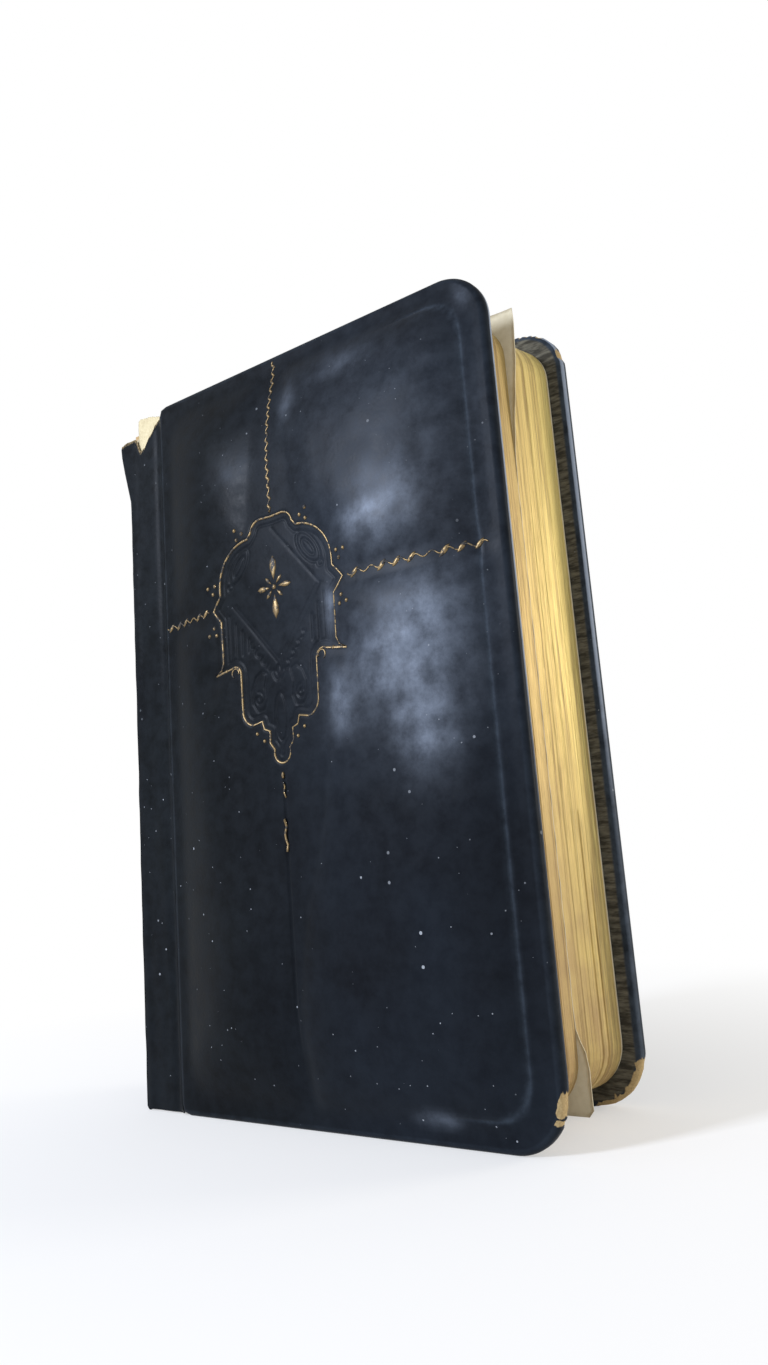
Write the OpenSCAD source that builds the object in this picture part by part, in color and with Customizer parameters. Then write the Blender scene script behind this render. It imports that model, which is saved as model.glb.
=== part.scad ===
// Antique leather book with a padded, gilt tooled front cover.
// It stands on its tail edge: spine at -X, fore-edge at +X, front cover at -Y.
// Origin: middle of the footprint, at the height of the surface it stands on.

/* [Covers] */
// Height of both covers, head to tail
cover_h = 170; // [150:1:200]
// Width of a cover, from its joint edge to the fore-edge
cover_w = 98; // [90:1:110]
// Thickness of a covered board at its border
cover_t = 3; // [2.8:0.1:4]
// Thickness of the leather
leather_t = 0.8; // [0.5:0.1:1]
// Thickness of the leather where it is pared and turned in
turn_in_t = 0.5; // [0.3:0.1:0.8]
// Width of the turned-in leather inside a cover
turn_in_w = 9; // [6:0.5:12]
// Corner radius of a cover at the fore-edge
fore_corner_r = 11; // [4:0.5:12]
// Corner radius of a cover at the joint
joint_corner_r = 2; // [1:0.5:3]
// Thickness of the pastedown paper with its filler
pastedown_t = 0.5; // [0.3:0.1:0.8]

/* [Padded front] */
// How far the padding lifts the middle of the front cover
pad_crown = 4.2; // [2:0.1:6]
// Distance over which the padding rises from the border
pad_rise = 25; // [15:1:32]
// Extra height of the four cushions above the valleys
cushion_h = 1.4; // [0.6:0.1:2.5]
// Width over which a cushion rounds up to its full height
cushion_round = 8; // [5:0.5:12]
// Flat border round the padding
border_w = 4; // [3:0.5:6]
// Half width of the valleys that hold the level ropes
side_valley = 2.2; // [1.6:0.1:3]
// Floor left between the panel's outline and the cushions
panel_margin = 1.8; // [1:0.1:3]

/* [Sunk panel] */
// Distance of the panel's axis from the fore-edge
panel_from_fore = 57.5; // [52:0.1:64]
// Height of the ropes' crossing above the tail
cross_h = 111.6; // [100:0.1:120]
// Radius of the two upper quarter arcs
shoulder_r = 10; // [8:0.1:11]
// Half width of the panel at its upright sides
panel_half = 17; // [15:0.1:18]
// Half width of the panel's lower body
lower_half = 10.9; // [9:0.1:12]
// How far the side cusps reach from the axis
side_cusp = 19.7; // [18:0.1:21]
// Height of the top cusp above the crossing
top_cusp = 18; // [17:0.1:20]
// Depth of the pendant's tip below the crossing
pendant_drop = 37; // [35:0.1:40]

/* [Gilt tooling] */
// Width of the gilt outline
gilt_w = 0.8; // [0.5:0.1:1.2]
// How far the gilt stands up from the leather
gilt_t = 0.25; // [0.15:0.05:0.4]
// Length of one strand of the rope line
strand_l = 2.3; // [1.8:0.1:3]
// Width of one strand of the rope line
strand_w = 0.7; // [0.5:0.1:1]
// Distance between the rope's strands
strand_pitch = 1.9; // [1.5:0.1:2.5]
// Slant of the strands across the rope, in degrees
strand_slant = 32; // [20:1:45]
// Radius of the gilt dots
dot_r = 0.6; // [0.4:0.1:0.9]
// Length of the lower rope's gilding, below which it is only creased
lower_rope_l = 20; // [12:1:30]
// Length of the long petals of the flower in the panel
petal_l = 4.6; // [3:0.1:6]

/* [Book block] */
// Thickness of the closed book over the covers' borders
book_t = 36; // [33:0.5:50]
// How far the covers reach past the pages at head and tail
square_head = 3.6; // [2.5:0.1:5]
// How far the covers reach past the pages at the fore-edge
square_fore = 3.4; // [2.5:0.1:5]
// Corner radius of the pages at the fore-edge
page_corner_r = 9.5; // [4:0.5:11]
// Depth of the hollow in the fore-edge
fore_hollow = 1.6; // [0.8:0.1:3]
// How far the outer pages' fore-edges are rubbed back
page_wear = 0.2; // [0.1:0.05:0.5]
// Thickness of a flyleaf
flyleaf_t = 0.2; // [0.15:0.05:0.3]
// Air between a closed cover and the book block
cover_gap = 0.3; // [0.2:0.05:0.5]
// How far the backed shoulders stand proud of the pages
shoulder_h = 1.4; // [0.8:0.1:1.5]
// Width of the slope from the pages up to a shoulder
shoulder_w = 2.5; // [1.5:0.1:3.5]
// How far the flyleaves stay inside the pages' edges
flyleaf_inset = 0.3; // [0.1:0.1:1]

/* [Spine] */
// Width of the leather joint between a cover and the shoulder
joint_w = 12.3; // [10:0.1:13]
// How far the joint leather lies below the cover's face
joint_sink = 0.8; // [0.6:0.1:1.2]
// How far the spine bulges past the shoulders
spine_bulge = 7; // [5:0.1:12]
// How far the head cap is pulled out
cap_flare = 3.5; // [1.5:0.1:5]
// How far the head cap stops below the covers' head
cap_drop = 4.2; // [2:0.1:5]
// Height of the turned-in cap leather
cap_h = 9; // [6:0.5:12]
// Depth of the tear in the front joint's leather at the head
head_tear = 5.5; // [0:0.5:8]
// Distance from a cover's edge to its hinge line
hinge_in = 7; // [6:0.1:8]
// Slit between the hinging leathers, half its width
slit_half = 0.4; // [0.3:0.05:0.6]
// Thickness of the card inlay in the spine
inlay_t = 0.7; // [0.5:0.05:0.9]
// Thickness of the cloth and paper lining on the back
lining_t = 0.45; // [0.3:0.05:0.6]
// Thickness of the cream hinge lining that the tear lays bare
hinge_lining_t = 0.3; // [0.2:0.05:0.4]
// How far the hinge lining reaches down from the covers' head
hinge_lining_h = 30; // [20:1:60]
// How far the hinge lining stands above the covers' head, at its corner away from the cover
hinge_lining_rise = 0.6; // [0:0.1:1.8]
// Free space between the hinge lining and the leather round it
hinge_lining_gap = 0.5; // [0.3:0.1:1]
// How far the lining stays inside the shoulders
lining_inset = 0.6; // [0.3:0.1:1.5]
// Radius of the headbands
headband_r = 0.9; // [0.6:0.1:1.2]
// How far a headband stops inside the pages' sides
headband_inset = 2; // [1:0.5:4]
// Film of glue between layers
glue = 0.05; // [0.03:0.01:0.1]
// Free space round the edges of the boards and pastedowns
edge_gap = 0.2; // [0.15:0.05:0.3]

/* [Loose leaf] */
// How far the leaf's inner edge reaches past the covers' joint edge
leaf_reach = 3.5; // [0:0.5:5]
// Height of the loose leaf
leaf_h = 164.5; // [160:0.1:168]
// Thickness of the loose leaf
leaf_t = 0.3; // [0.2:0.05:0.4]
// How far the leaf's head stands above the pages' head
leaf_lift = 1; // [0.3:0.1:3]
// How far the leaf's fore-edge leans out from tail to head
leaf_lean = 3.6; // [0:0.1:4.4]
// How far the leaf stays behind the covers' fore-edge at the head
leaf_back = 0.3; // [0.2:0.1:2]
// Place of the leaf, as a share of the way from front to back
leaf_place = 0.46; // [0.3:0.01:0.7]
// Corner radius of the loose leaf at the tail
leaf_corner_r = 1; // [0.5:0.5:5]
// Free width of the parting that the leaf lies in
leaf_slot = 0.6; // [0.5:0.05:0.8]

/* [Hidden] */

leather_colour = [0.13, 0.15, 0.18];
board_colour = [0.68, 0.58, 0.43];
paper_colour = [0.86, 0.82, 0.70];
gilt_edge_colour = [0.85, 0.74, 0.47];
gilt_colour = [0.80, 0.68, 0.42];

// Main planes and lines, worked out from the sizes above
book_w = cover_w + joint_w + spine_bulge + cap_flare;
x_fore = book_w / 2;
x_joint = x_fore - cover_w;
x_shoulder = x_joint - joint_w;
x_apex = x_shoulder - spine_bulge;
x_hinge = x_joint - hinge_in;
relief_h = pad_crown + cushion_h;
y_front = (relief_h - book_t) / 2;
y_back = y_front + book_t;
y_mid = (y_front + y_back) / 2;
panel_x = x_fore - panel_from_fore;

// Depths below a cover's outer face
board_top = leather_t;
board_bottom = cover_t - turn_in_t;

// Spine arc, through both shoulders and the apex
spine_half = book_t / 2 - joint_sink;
spine_r = (spine_half * spine_half + spine_bulge * spine_bulge) / (2 * spine_bulge);
spine_cx = x_apex + spine_r;
spine_angle = asin(spine_half / spine_r);
cap_fold = leather_t + turn_in_t;
inlay_r = spine_r - leather_t - glue;
lining_r = spine_r - max(leather_t + glue + inlay_t, cap_fold) - glue;
back_r = lining_r - lining_t - glue;

// Book block
block_half = book_t / 2 - cover_t - cover_gap - flyleaf_t;
block_z0 = square_head;
block_z1 = cover_h - square_head;
block_fore = x_fore - square_fore;
leaf_y = y_front + leaf_place * book_t;

// Fine clearances: of joined shapes, of the gilt on its leather, and of a cushion's foot
small = 0.01;
gilt_gap = 0.3;
foot_step = 0.5;

// Angles of the rays from the ropes' crossing to one corner quarter of a cover, from its
// upright valley round to its level valley: along both legs, closer by the valleys, round
// the corner, and to the inner corner of the turned-in leather
leg_shares = [0, 0.03, 0.08, 0.16, 0.28, 0.46, 0.7];
corner_steps = 4;
function quarter_rays(half_x, half_z, r) = sorted(concat(
    [for (k = leg_shares) atan2(k * (half_x - r), half_z)],
    [for (i = [0:corner_steps])
        let (t = 90 * i / corner_steps)
        atan2(half_x - r + r * sin(t), half_z - r + r * cos(t))],
    [atan2(half_x - turn_in_w, half_z - turn_in_w)],
    [for (i = [len(leg_shares) - 1:-1:1]) atan2(half_x, leg_shares[i] * (half_z - r))]));
function sorted(list) =
    len(list) < 2 ? list
    : let (pivot = list[floor(len(list) / 2)])
      concat(sorted([for (a = list) if (a < pivot) a]), [pivot],
             sorted([for (a = list) if (a > pivot) a]));
function backwards(list) = [for (i = [len(list) - 1:-1:0]) list[i]];
function without_last(list) = [for (i = [0:len(list) - 2]) list[i]];

// All rays, in degrees clockwise from straight up
to_fore = panel_from_fore;
to_joint = cover_w - panel_from_fore;
to_head = cover_h - cross_h;
rays = concat(
    quarter_rays(to_fore, to_head, fore_corner_r),
    [90],
    [for (a = without_last(backwards(quarter_rays(to_fore, cross_h, fore_corner_r)))) 180 - a],
    [for (a = quarter_rays(to_joint, cross_h, joint_corner_r)) 180 + a],
    [270],
    [for (a = without_last(backwards(quarter_rays(to_joint, to_head, joint_corner_r)))) 360 - a]);

// Arc of points in the panel's own plane, from angle a0 to a1 in n steps
function arc(c, r, a0, a1, n) =
    [for (i = [0:n]) c + r * [cos(a0 + (a1 - a0) * i / n), sin(a0 + (a1 - a0) * i / n)]];

// Right half of the panel's outline, from the top cusp to the pendant's tip, about the crossing
panel_right = concat(
    [[0, top_cusp]],
    arc([3.3, top_cusp - 2.8], 3, 100, 8, 4),
    arc([panel_half - shoulder_r, 4.4], shoulder_r, 88, 4, 7),
    [[panel_half, 3], [side_cusp - 0.8, 1.3], [side_cusp, 0], [side_cusp - 0.8, -1.3]],
    [[panel_half, -3], [panel_half - 0.2, -12.6], [side_cusp - 0.2, -15.2]],
    arc([lower_half + 2.2, -16], 1.9, 60, 175, 4),
    arc([lower_half - 3.4, 12.6 - pendant_drop], 3.6, 0, -80, 4),
    [for (step = [[5.4, 9.6], [4.9, 7.8], [3.3, 7.2], [3.4, 4.6]]) step - [0, pendant_drop]],
    arc([0, 2.3 - pendant_drop], 2.3, 20, -90, 3));
panel_outline = concat(panel_right,
    [for (i = [len(panel_right) - 2:-1:1]) [-panel_right[i][0], panel_right[i][1]]]);

// The same half as angle and radius, for the floor that the cushions leave free
panel_polar = [for (p = panel_right) [atan2(p[0], p[1]), norm(p)]];
function folded(a) = a > 180 ? 360 - a : a;
function panel_r(a) = lookup(folded(a), panel_polar);

// Half width of the upright valleys at a height above or below the crossing
upright_valley = [[-cross_h, 0.9], [-86, 1.4], [-69, 4.6], [-54, 9.6], [-38, 13], [-25, 14.2],
                  [0, 14.2], [19, 7.7], [33, 6.4], [43, 5.1], [52, 3.8], [to_head, 1.7]];

// Distance from the crossing to a cover's outline, set in by a margin, along a ray
function ray_length(a, margin) =
    let (s = abs(sin(a)), c = abs(cos(a)),
         right = sin(a) >= 0,
         half_x = (right ? to_fore : to_joint) - margin,
         half_z = (cos(a) >= 0 ? to_head : cross_h) - margin,
         r = max(0.3, (right ? fore_corner_r : joint_corner_r) - margin),
         reach = min(half_x / max(s, 1e-6), half_z / max(c, 1e-6)),
         dx = half_x - r,
         dz = half_z - r,
         b = s * dx + c * dz)
    s * reach > dx && c * reach > dz ? b + sqrt(b * b - dx * dx - dz * dz + r * r) : reach;

// Place on the front cover at a ray and a distance from the crossing, as [x, z]
function on_ray(a, d) = [panel_x + d * sin(a), cross_h + d * cos(a)];

// Distance of a place from the cover's nearest edge
function edge_distance(p) = min(x_fore - p[0], p[0] - x_joint, cover_h - p[1], p[1]);

// Distance of a place into a cushion: zero or less in the valleys, on the panel and on the border
function cushion_distance(p) =
    let (dx = p[0] - panel_x, dz = p[1] - cross_h)
    min(abs(dx) - lookup(dz, upright_valley),
        abs(dz) - side_valley,
        norm([dx, dz]) - panel_r(abs(atan2(dx, dz))) - panel_margin,
        edge_distance(p) - border_w);

function rounded_rise(t) = t <= 0 ? 0 : t >= 1 ? 1 : sqrt(1 - (1 - t) * (1 - t));
function crown(d) = pad_crown * (1 - pow(1 - min(max((d - border_w) / pad_rise, 0), 1), 2));

// Height of the front leather above the border, at a place on the cover
function relief(p) =
    crown(edge_distance(p)) + cushion_h * rounded_rise(cushion_distance(p) / cushion_round);

// Where a ray leaves the floor and a cushion begins, at the latest just inside the border
function cushion_foot(a, d) =
    let (last = ray_length(a, border_w + foot_step))
    d > last || cushion_distance(on_ray(a, d + foot_step)) > 0
        ? min(d, last)
        : cushion_foot(a, d + foot_step);
feet = [for (a = rays) cushion_foot(a, panel_r(a) + panel_margin)];

// Rings of the padded relief: distances from the crossing, from the panel out to the border
panel_shares = [0.55, 1];
cushion_shares = [0, 0.06, 0.14, 0.28, 0.5, 0.74, 0.9, 1];
relief_rings = concat(
    [for (k = panel_shares) [for (a = rays) k * panel_r(a)]],
    [for (k = cushion_shares)
        [for (i = [0:len(rays) - 1])
            feet[i] + k * (ray_length(rays[i], border_w) - feet[i])]]);

// Rim of a covered board, from the border round to the turned-in edge: margin and depth
rim = [[1.1, 0], [0.35, 0.3], [0, 1], [0, cover_t - 1], [0.35, cover_t - 0.3],
       [1.1, cover_t], [turn_in_w, cover_t]];
// Pocket of the skin that holds the board, from the turned-in edge back to the border
pocket = [[turn_in_w, board_bottom], [leather_t, board_bottom], [leather_t, board_top]];

// One ring of points on a cover: side is -1 for the front and 1 for the back
function face_y(side, depth) = side < 0 ? y_front + depth : y_back - depth;
function ring_at(side, margin, depth) =
    [for (a = rays) let (p = on_ray(a, ray_length(a, margin))) [p[0], face_y(side, depth), p[1]]];
function relief_ring(distances, depth) =
    [for (i = [0:len(rays) - 1])
        let (p = on_ray(rays[i], distances[i])) [p[0], y_front - relief(p) + depth, p[1]]];
function middle(depth) = [panel_x, y_front - relief([panel_x, cross_h]) + depth, cross_h];

// Closed solid from rings of equal count, with a centre point before the first and after the last
module ringed(first, rings, last, turned = false) {
    n = len(rings[0]);
    m = len(rings);
    points = concat([first], [for (r = rings) each r], [last]);
    end = len(points) - 1;
    faces = concat(
        [for (i = [0:n - 1]) [0, 1 + i, 1 + (i + 1) % n]],
        [for (k = [0:m - 2], i = [0:n - 1], t = [0, 1])
            let (a = 1 + k * n + i, b = 1 + k * n + (i + 1) % n)
            t == 0 ? [a, b + n, b] : [a, a + n, b + n]],
        [for (i = [0:n - 1]) [end, 1 + (m - 1) * n + (i + 1) % n, 1 + (m - 1) * n + i]]);
    polyhedron(points, turned ? [for (f = faces) [f[0], f[2], f[1]]] : faces);
}

// Flat plate with a cover's rounded corners, between two depths below the outer face
module cover_plate(side, margin, depth0, depth1) {
    rf = max(fore_corner_r - margin, 0.3);
    rj = max(joint_corner_r - margin, 0.3);
    x0 = x_joint + margin;
    x1 = x_fore - margin;
    z0 = margin;
    z1 = cover_h - margin;
    translate([0, max(face_y(side, depth0), face_y(side, depth1)), 0])
        rotate([90, 0, 0])
            linear_extrude(depth1 - depth0)
                union() {
                    translate([x0 + rj, z0]) square([x1 - rf - x0 - rj, z1 - z0]);
                    translate([x0, z0 + rj]) square([rj + small, z1 - z0 - 2 * rj]);
                    translate([x1 - rf - small, z0 + rf]) square([rf + small, z1 - z0 - 2 * rf]);
                    for (z = [z0 + rf, z1 - rf]) translate([x1 - rf, z]) circle(rf, $fn = 48);
                    for (z = [z0 + rj, z1 - rj]) translate([x0 + rj, z]) circle(rj, $fn = 24);
                }
}

// Leather strip that carries a cover to its hinge line
module joint_strip(side, top) {
    y0 = face_y(side, side < 0 ? joint_sink : joint_sink + leather_t);
    translate([x_hinge + slit_half, y0, joint_corner_r])
        cube([x_joint + leather_t / 2 - x_hinge - slit_half, leather_t, top - joint_corner_r]);
}

module front_leather() color(leather_colour) {
    outer = [for (r = relief_rings) relief_ring(r, 0)];
    inner = [for (i = [len(relief_rings) - 1:-1:0]) relief_ring(relief_rings[i], leather_t)];
    union() {
        ringed(middle(0),
            concat(outer, [for (r = rim) ring_at(-1, r[0], r[1])],
                [for (r = pocket) ring_at(-1, r[0], r[1])], inner),
            middle(leather_t));
        joint_strip(-1, cover_h - joint_corner_r - head_tear);
    }
}

module front_padding() color(paper_colour) {
    n = len(relief_rings);
    top = [for (i = [n - 2:-1:0]) relief_ring(relief_rings[i], leather_t + glue)];
    foot = [for (p = top[0]) [p[0], y_front + board_top, p[2]]];
    ringed([panel_x, y_front + board_top, cross_h], concat([foot], top),
        middle(leather_t + glue), true);
}

module back_leather() color(leather_colour) union() {
    ringed([panel_x, y_back, cross_h],
        concat([ring_at(1, border_w, 0)],
            [for (r = rim) ring_at(1, r[0], r[1])],
            [for (r = pocket) ring_at(1, r[0], r[1])],
            [ring_at(1, border_w, board_top)]),
        [panel_x, y_back - board_top, cross_h], true);
    joint_strip(1, cover_h - joint_corner_r);
}

module front_board() color(board_colour)
    cover_plate(-1, leather_t + edge_gap, board_top, board_bottom);

module back_board() color(board_colour)
    cover_plate(1, leather_t + edge_gap, board_top, board_bottom);

module front_pastedown() color(paper_colour)
    cover_plate(-1, turn_in_w + edge_gap, cover_t - pastedown_t, cover_t);

module back_pastedown() color(paper_colour)
    cover_plate(1, turn_in_w + edge_gap, cover_t - pastedown_t, cover_t);

// Outline of the page block seen from the head, with backed shoulders and a hollow fore-edge
module block_plan() {
    shoulder_half = block_half + shoulder_h;
    hollow_r = (block_half * block_half + fore_hollow * fore_hollow) / (2 * fore_hollow);
    neck = x_joint - shoulder_w;
    difference() {
        union() {
            translate([neck - small, y_mid - block_half])
                square([block_fore - neck + small, 2 * block_half]);
            intersection() {
                translate([spine_cx, y_mid]) circle(back_r, $fn = 180);
                translate([0, y_mid])
                    polygon([[x_apex, -shoulder_half], [neck - shoulder_w, -shoulder_half],
                             [neck, -block_half], [neck, block_half],
                             [neck - shoulder_w, shoulder_half], [x_apex, shoulder_half]]);
            }
        }
        translate([block_fore - page_wear - fore_hollow + hollow_r, y_mid])
            circle(hollow_r, $fn = 180);
    }
}

// Page outline seen from the front, with the fore-edge corners cut round
module page_outline(x0, margin) {
    r = page_corner_r;
    x1 = block_fore - margin;
    z0 = block_z0 + margin;
    z1 = block_z1 - margin;
    translate([x0, z0]) square([x1 - r - x0, z1 - z0]);
    translate([x1 - r - small, z0 + r]) square([r + small, z1 - z0 - 2 * r]);
    for (z = [z0 + r, z1 - r]) translate([x1 - r, z]) circle(r, $fn = 48);
}

// Leaf outline, seen from the front, with its fore-edge moved out by a margin
module leaf_outline(grow) {
    r = leaf_corner_r;
    x1 = x_fore - leaf_back + grow;
    x0 = x1 - leaf_lean;
    z1 = block_z1 + leaf_lift;
    z0 = z1 - leaf_h;
    union() {
        polygon([[x_joint - leaf_reach - grow, z0 - grow],
                 [x0 - r, z0 - grow], [x0, z0 - grow + r], [x1, z1 + grow],
                 [x_joint - leaf_reach - grow, z1 + grow]]);
        translate([x0 - r, z0 - grow + r]) circle(r, $fn = 24);
    }
}

module upright_slab(y, thickness)
    translate([0, y + thickness, 0]) rotate([90, 0, 0]) linear_extrude(thickness) children();

module text_block() color(gilt_edge_colour) difference() {
    intersection() {
        translate([0, 0, block_z0]) linear_extrude(block_z1 - block_z0) block_plan();
        upright_slab(y_front, book_t) page_outline(x_apex - 1, 0);
    }
    upright_slab(leaf_y - leaf_slot / 2, leaf_slot) leaf_outline(leaf_slot);
}

module front_flyleaf() color(paper_colour)
    upright_slab(y_mid - block_half - flyleaf_t, flyleaf_t)
        page_outline(x_joint - shoulder_w, flyleaf_inset);

module back_flyleaf() color(paper_colour)
    upright_slab(y_mid + block_half, flyleaf_t)
        page_outline(x_joint - shoulder_w, flyleaf_inset);

module loose_leaf() color(paper_colour)
    upright_slab(leaf_y - leaf_t / 2, leaf_t) leaf_outline(0);

// Curved layer on the back of the pages, between two radii and two heights
module spine_layer(r, thickness, z0, z1) {
    half = block_half + shoulder_h - lining_inset;
    intersection() {
        translate([spine_cx, y_mid, z0]) difference() {
            cylinder(r = r, h = z1 - z0, $fn = 180);
            translate([0, 0, -1]) cylinder(r = r - thickness, h = z1 - z0 + 2, $fn = 180);
        }
        translate([x_apex - 1, y_mid - half, z0 - 1])
            cube([spine_cx - x_apex, 2 * half, z1 - z0 + 2]);
    }
}

module spine_lining() color([0.80, 0.76, 0.66])
    spine_layer(lining_r, lining_t, block_z0 + 1, block_z1 - 1);

// Cream strip behind the front joint, which the torn leather lays bare at the head
module hinge_lining() color([0.80, 0.74, 0.60]) {
    gap = hinge_lining_gap;
    foot = cover_h - hinge_lining_h;
    x_end = (x_hinge + x_shoulder) / 2;
    y0 = y_front + joint_sink + leather_t + glue;
    upright_slab(y0, hinge_lining_t)
        polygon([[x_joint - gap, foot], [x_joint - gap, cover_h - joint_corner_r],
                 [x_end, cover_h + hinge_lining_rise],
                 [x_end, cap_top - torn_shares[1] * head_tear + gap],
                 [x_hinge - slit_half, cap_top - torn_shares[0] * head_tear + gap],
                 [x_hinge + slit_half, foot]]);
}

module spine_inlay() color([0.62, 0.55, 0.44])
    spine_layer(inlay_r, inlay_t, cap_h + glue, cover_h - cap_drop - cap_h - glue);

// Headband: a round cord along the back edge of the pages
module headband(z) {
    half = block_half - headband_inset;
    intersection() {
        translate([spine_cx, y_mid, z]) rotate_extrude($fn = 180)
            translate([back_r - 1.3 * headband_r, 0]) circle(headband_r, $fn = 16);
        translate([x_apex - 1, y_mid - half, z - 2 * headband_r])
            cube([spine_cx - x_apex, 2 * half, 4 * headband_r]);
    }
}

module head_band() color([0.72, 0.66, 0.52]) headband(block_z1 + headband_r);
module tail_band() color([0.72, 0.66, 0.52]) headband(block_z0 - headband_r);

// Line of the spine leather's outer face, from the front hinge to the back hinge:
// place, outward direction and share of the head cap's flare
arc_steps = 20;
function spine_stop(phi) =
    [spine_cx - spine_r * cos(phi), y_mid - spine_r * sin(phi), -cos(phi), -sin(phi), 1];
spine_front = [
    [x_hinge - slit_half, y_front + joint_sink, 0, -1, 0],
    [(x_hinge + x_shoulder) / 2, y_front + joint_sink, 0, -1, 0.3],
    [x_shoulder, y_front + joint_sink, -0.5, -1, 1]];
spine_line = concat(spine_front,
    [for (i = [1:arc_steps - 1]) spine_stop(spine_angle * (1 - 2 * i / arc_steps))],
    [for (i = [2:-1:0])
        let (s = spine_front[i]) [s[0], 2 * y_mid - s[1], s[2], -s[3], s[4]]]);

// Section of the spine leather, from tail to head: height, inset, thickness and flare
cap_top = cover_h - cap_drop;
fold_inset = cap_fold / 4;
fold_r = cap_fold / 2;
spine_section = [
    [0, fold_inset, fold_r, 0],
    [fold_r, 0, cap_fold, 0],
    [cap_h - fold_r, 0, cap_fold, 0],
    [cap_h, 0, leather_t, 0],
    [cap_top - 2.2 * cap_h, 0, leather_t, 0],
    [cap_top - 1.7 * cap_h, 0, leather_t, 0.2],
    [cap_top - cap_h, 0, leather_t, 0.62],
    [cap_top - cap_h + fold_r, 0, cap_fold, 0.66],
    [cap_top - cap_h / 2, 0, cap_fold, 0.9],
    [cap_top - fold_r, 0, cap_fold, 1],
    [cap_top, fold_inset, fold_r, 1]];

// The torn front joint stops lower at the head than the cap does
torn_shares = [1, 0.35, 0.1];
function torn(i, z) =
    i < len(torn_shares) && z > cap_top - cap_h
        ? z - head_tear * torn_shares[i] * (z - cap_top + cap_h) / cap_h
        : z;
function spine_point(i, row, inward) =
    let (s = spine_line[i], d = row[1] + inward * row[2])
    [s[0] - d * s[2] - cap_flare * row[3] * s[4], s[1] - d * s[3], torn(i, row[0])];

module spine_leather() color(leather_colour) {
    n = len(spine_line);
    rows = len(spine_section);
    loops = [for (i = [0:n - 1]) concat(
        [for (k = [0:rows - 1]) spine_point(i, spine_section[k], 0)],
        [for (k = [rows - 1:-1:0]) spine_point(i, spine_section[k], 1)])];
    m = 2 * rows;
    points = [for (l = loops) each l];
    polyhedron(points, concat(
        [for (i = [0:n - 2], k = [0:m - 1], t = [0, 1])
            let (a = i * m + k, b = i * m + (k + 1) % m)
            t == 0 ? [a, b + m, b] : [a, a + m, b + m]],
        [for (k = [0:rows - 2], t = [0, 1])
            t == 0 ? [k, m - 2 - k, m - 1 - k] : [k, k + 1, m - 2 - k]],
        [for (k = [0:rows - 2], t = [0, 1])
            let (e = (n - 1) * m)
            t == 0 ? [e + k, e + m - 1 - k, e + m - 2 - k] : [e + k, e + m - 2 - k, e + k + 1]]));
}

// Stamp a flat gilt shape on the leather, at a place given from the crossing, turned in its plane
module stamped(p, turn = 0) {
    at = [panel_x + p[0], cross_h + p[1]];
    slope_x = relief(at + [0.5, 0]) - relief(at - [0.5, 0]);
    slope_z = relief(at + [0, 0.5]) - relief(at - [0, 0.5]);
    translate([at[0], y_front - relief(at) - gilt_gap, at[1]])
        rotate([-atan(slope_z), 0, 0]) rotate([0, 0, atan(-slope_x)])
            rotate([90, 0, 0]) rotate(turn) linear_extrude(gilt_t) children();
}

module strand() {
    l = strand_l / 2;
    w = strand_w / 2;
    polygon([[-l, 0], [-0.6 * l, -w], [0.6 * l, -0.8 * w],
             [l, 0], [0.6 * l, w], [-0.6 * l, 0.8 * w]]);
}

// Row of slanted strands from one place to another
module rope(from, to) {
    run = to - from;
    count = floor(norm(run) / strand_pitch);
    heading = atan2(run[1], run[0]);
    for (i = [0:count - 1])
        stamped(from + run * (i + 0.5) / count, heading + strand_slant) strand();
}

// Gilt line along the panel's outline
module panel_line() {
    n = len(panel_outline);
    function side(i, out) =
        let (a = panel_outline[(i + n - 1) % n], b = panel_outline[(i + 1) % n], t = b - a,
             u = [t[1], -t[0]] / max(norm(t), 0.01))
        panel_outline[i] - out * gilt_w / 2 * u;
    function at(q, h) =
        let (p = [panel_x + q[0], cross_h + q[1]])
        [p[0], y_front - relief(p) - gilt_gap - h, p[1]];
    points = [for (i = [0:n - 1]) each
        [at(side(i, -1), 0), at(side(i, 1), 0), at(side(i, 1), gilt_t), at(side(i, -1), gilt_t)]];
    polyhedron(points, [for (i = [0:n - 1], k = [0:3], t = [0, 1])
        let (a = i * 4 + k, b = i * 4 + (k + 1) % 4, j = ((i + 1) % n) * 4)
        t == 0 ? [a, j + (k + 1) % 4, b] : [a, j + k, j + (k + 1) % 4]]);
}

module dot(p, r = dot_r) stamped(p) circle(r, $fn = 16);

// Cluster of three dots outside the panel, pointing away from it
module dot_cluster(p, heading) {
    reach = 2.1 * dot_r;
    for (a = [0, 130, -130])
        dot(p + reach * [cos(heading + a), sin(heading + a)], dot_r * 0.8);
}

// Petal with its foot at the origin
module petal(l, w) {
    n = 8;
    edge = [for (i = [0:n]) [l * i / n, w * sin(180 * pow(i / n, 0.8))]];
    polygon(concat(edge, [for (i = [n - 1:-1:1]) [edge[i][0], -edge[i][1]]]));
}

// Flower of four long petals and four short ones, in the middle of the panel
module flower() {
    centre = [0, top_cusp / 6];
    short_l = 0.57 * petal_l;
    for (a = [0:90:270])
        stamped(centre + 0.2 * petal_l * [cos(a), sin(a)], a) petal(petal_l, 0.22 * petal_l);
    for (a = [45:90:315])
        stamped(centre + 0.3 * petal_l * [cos(a), sin(a)], a) petal(short_l, 0.22 * short_l);
}

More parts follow.
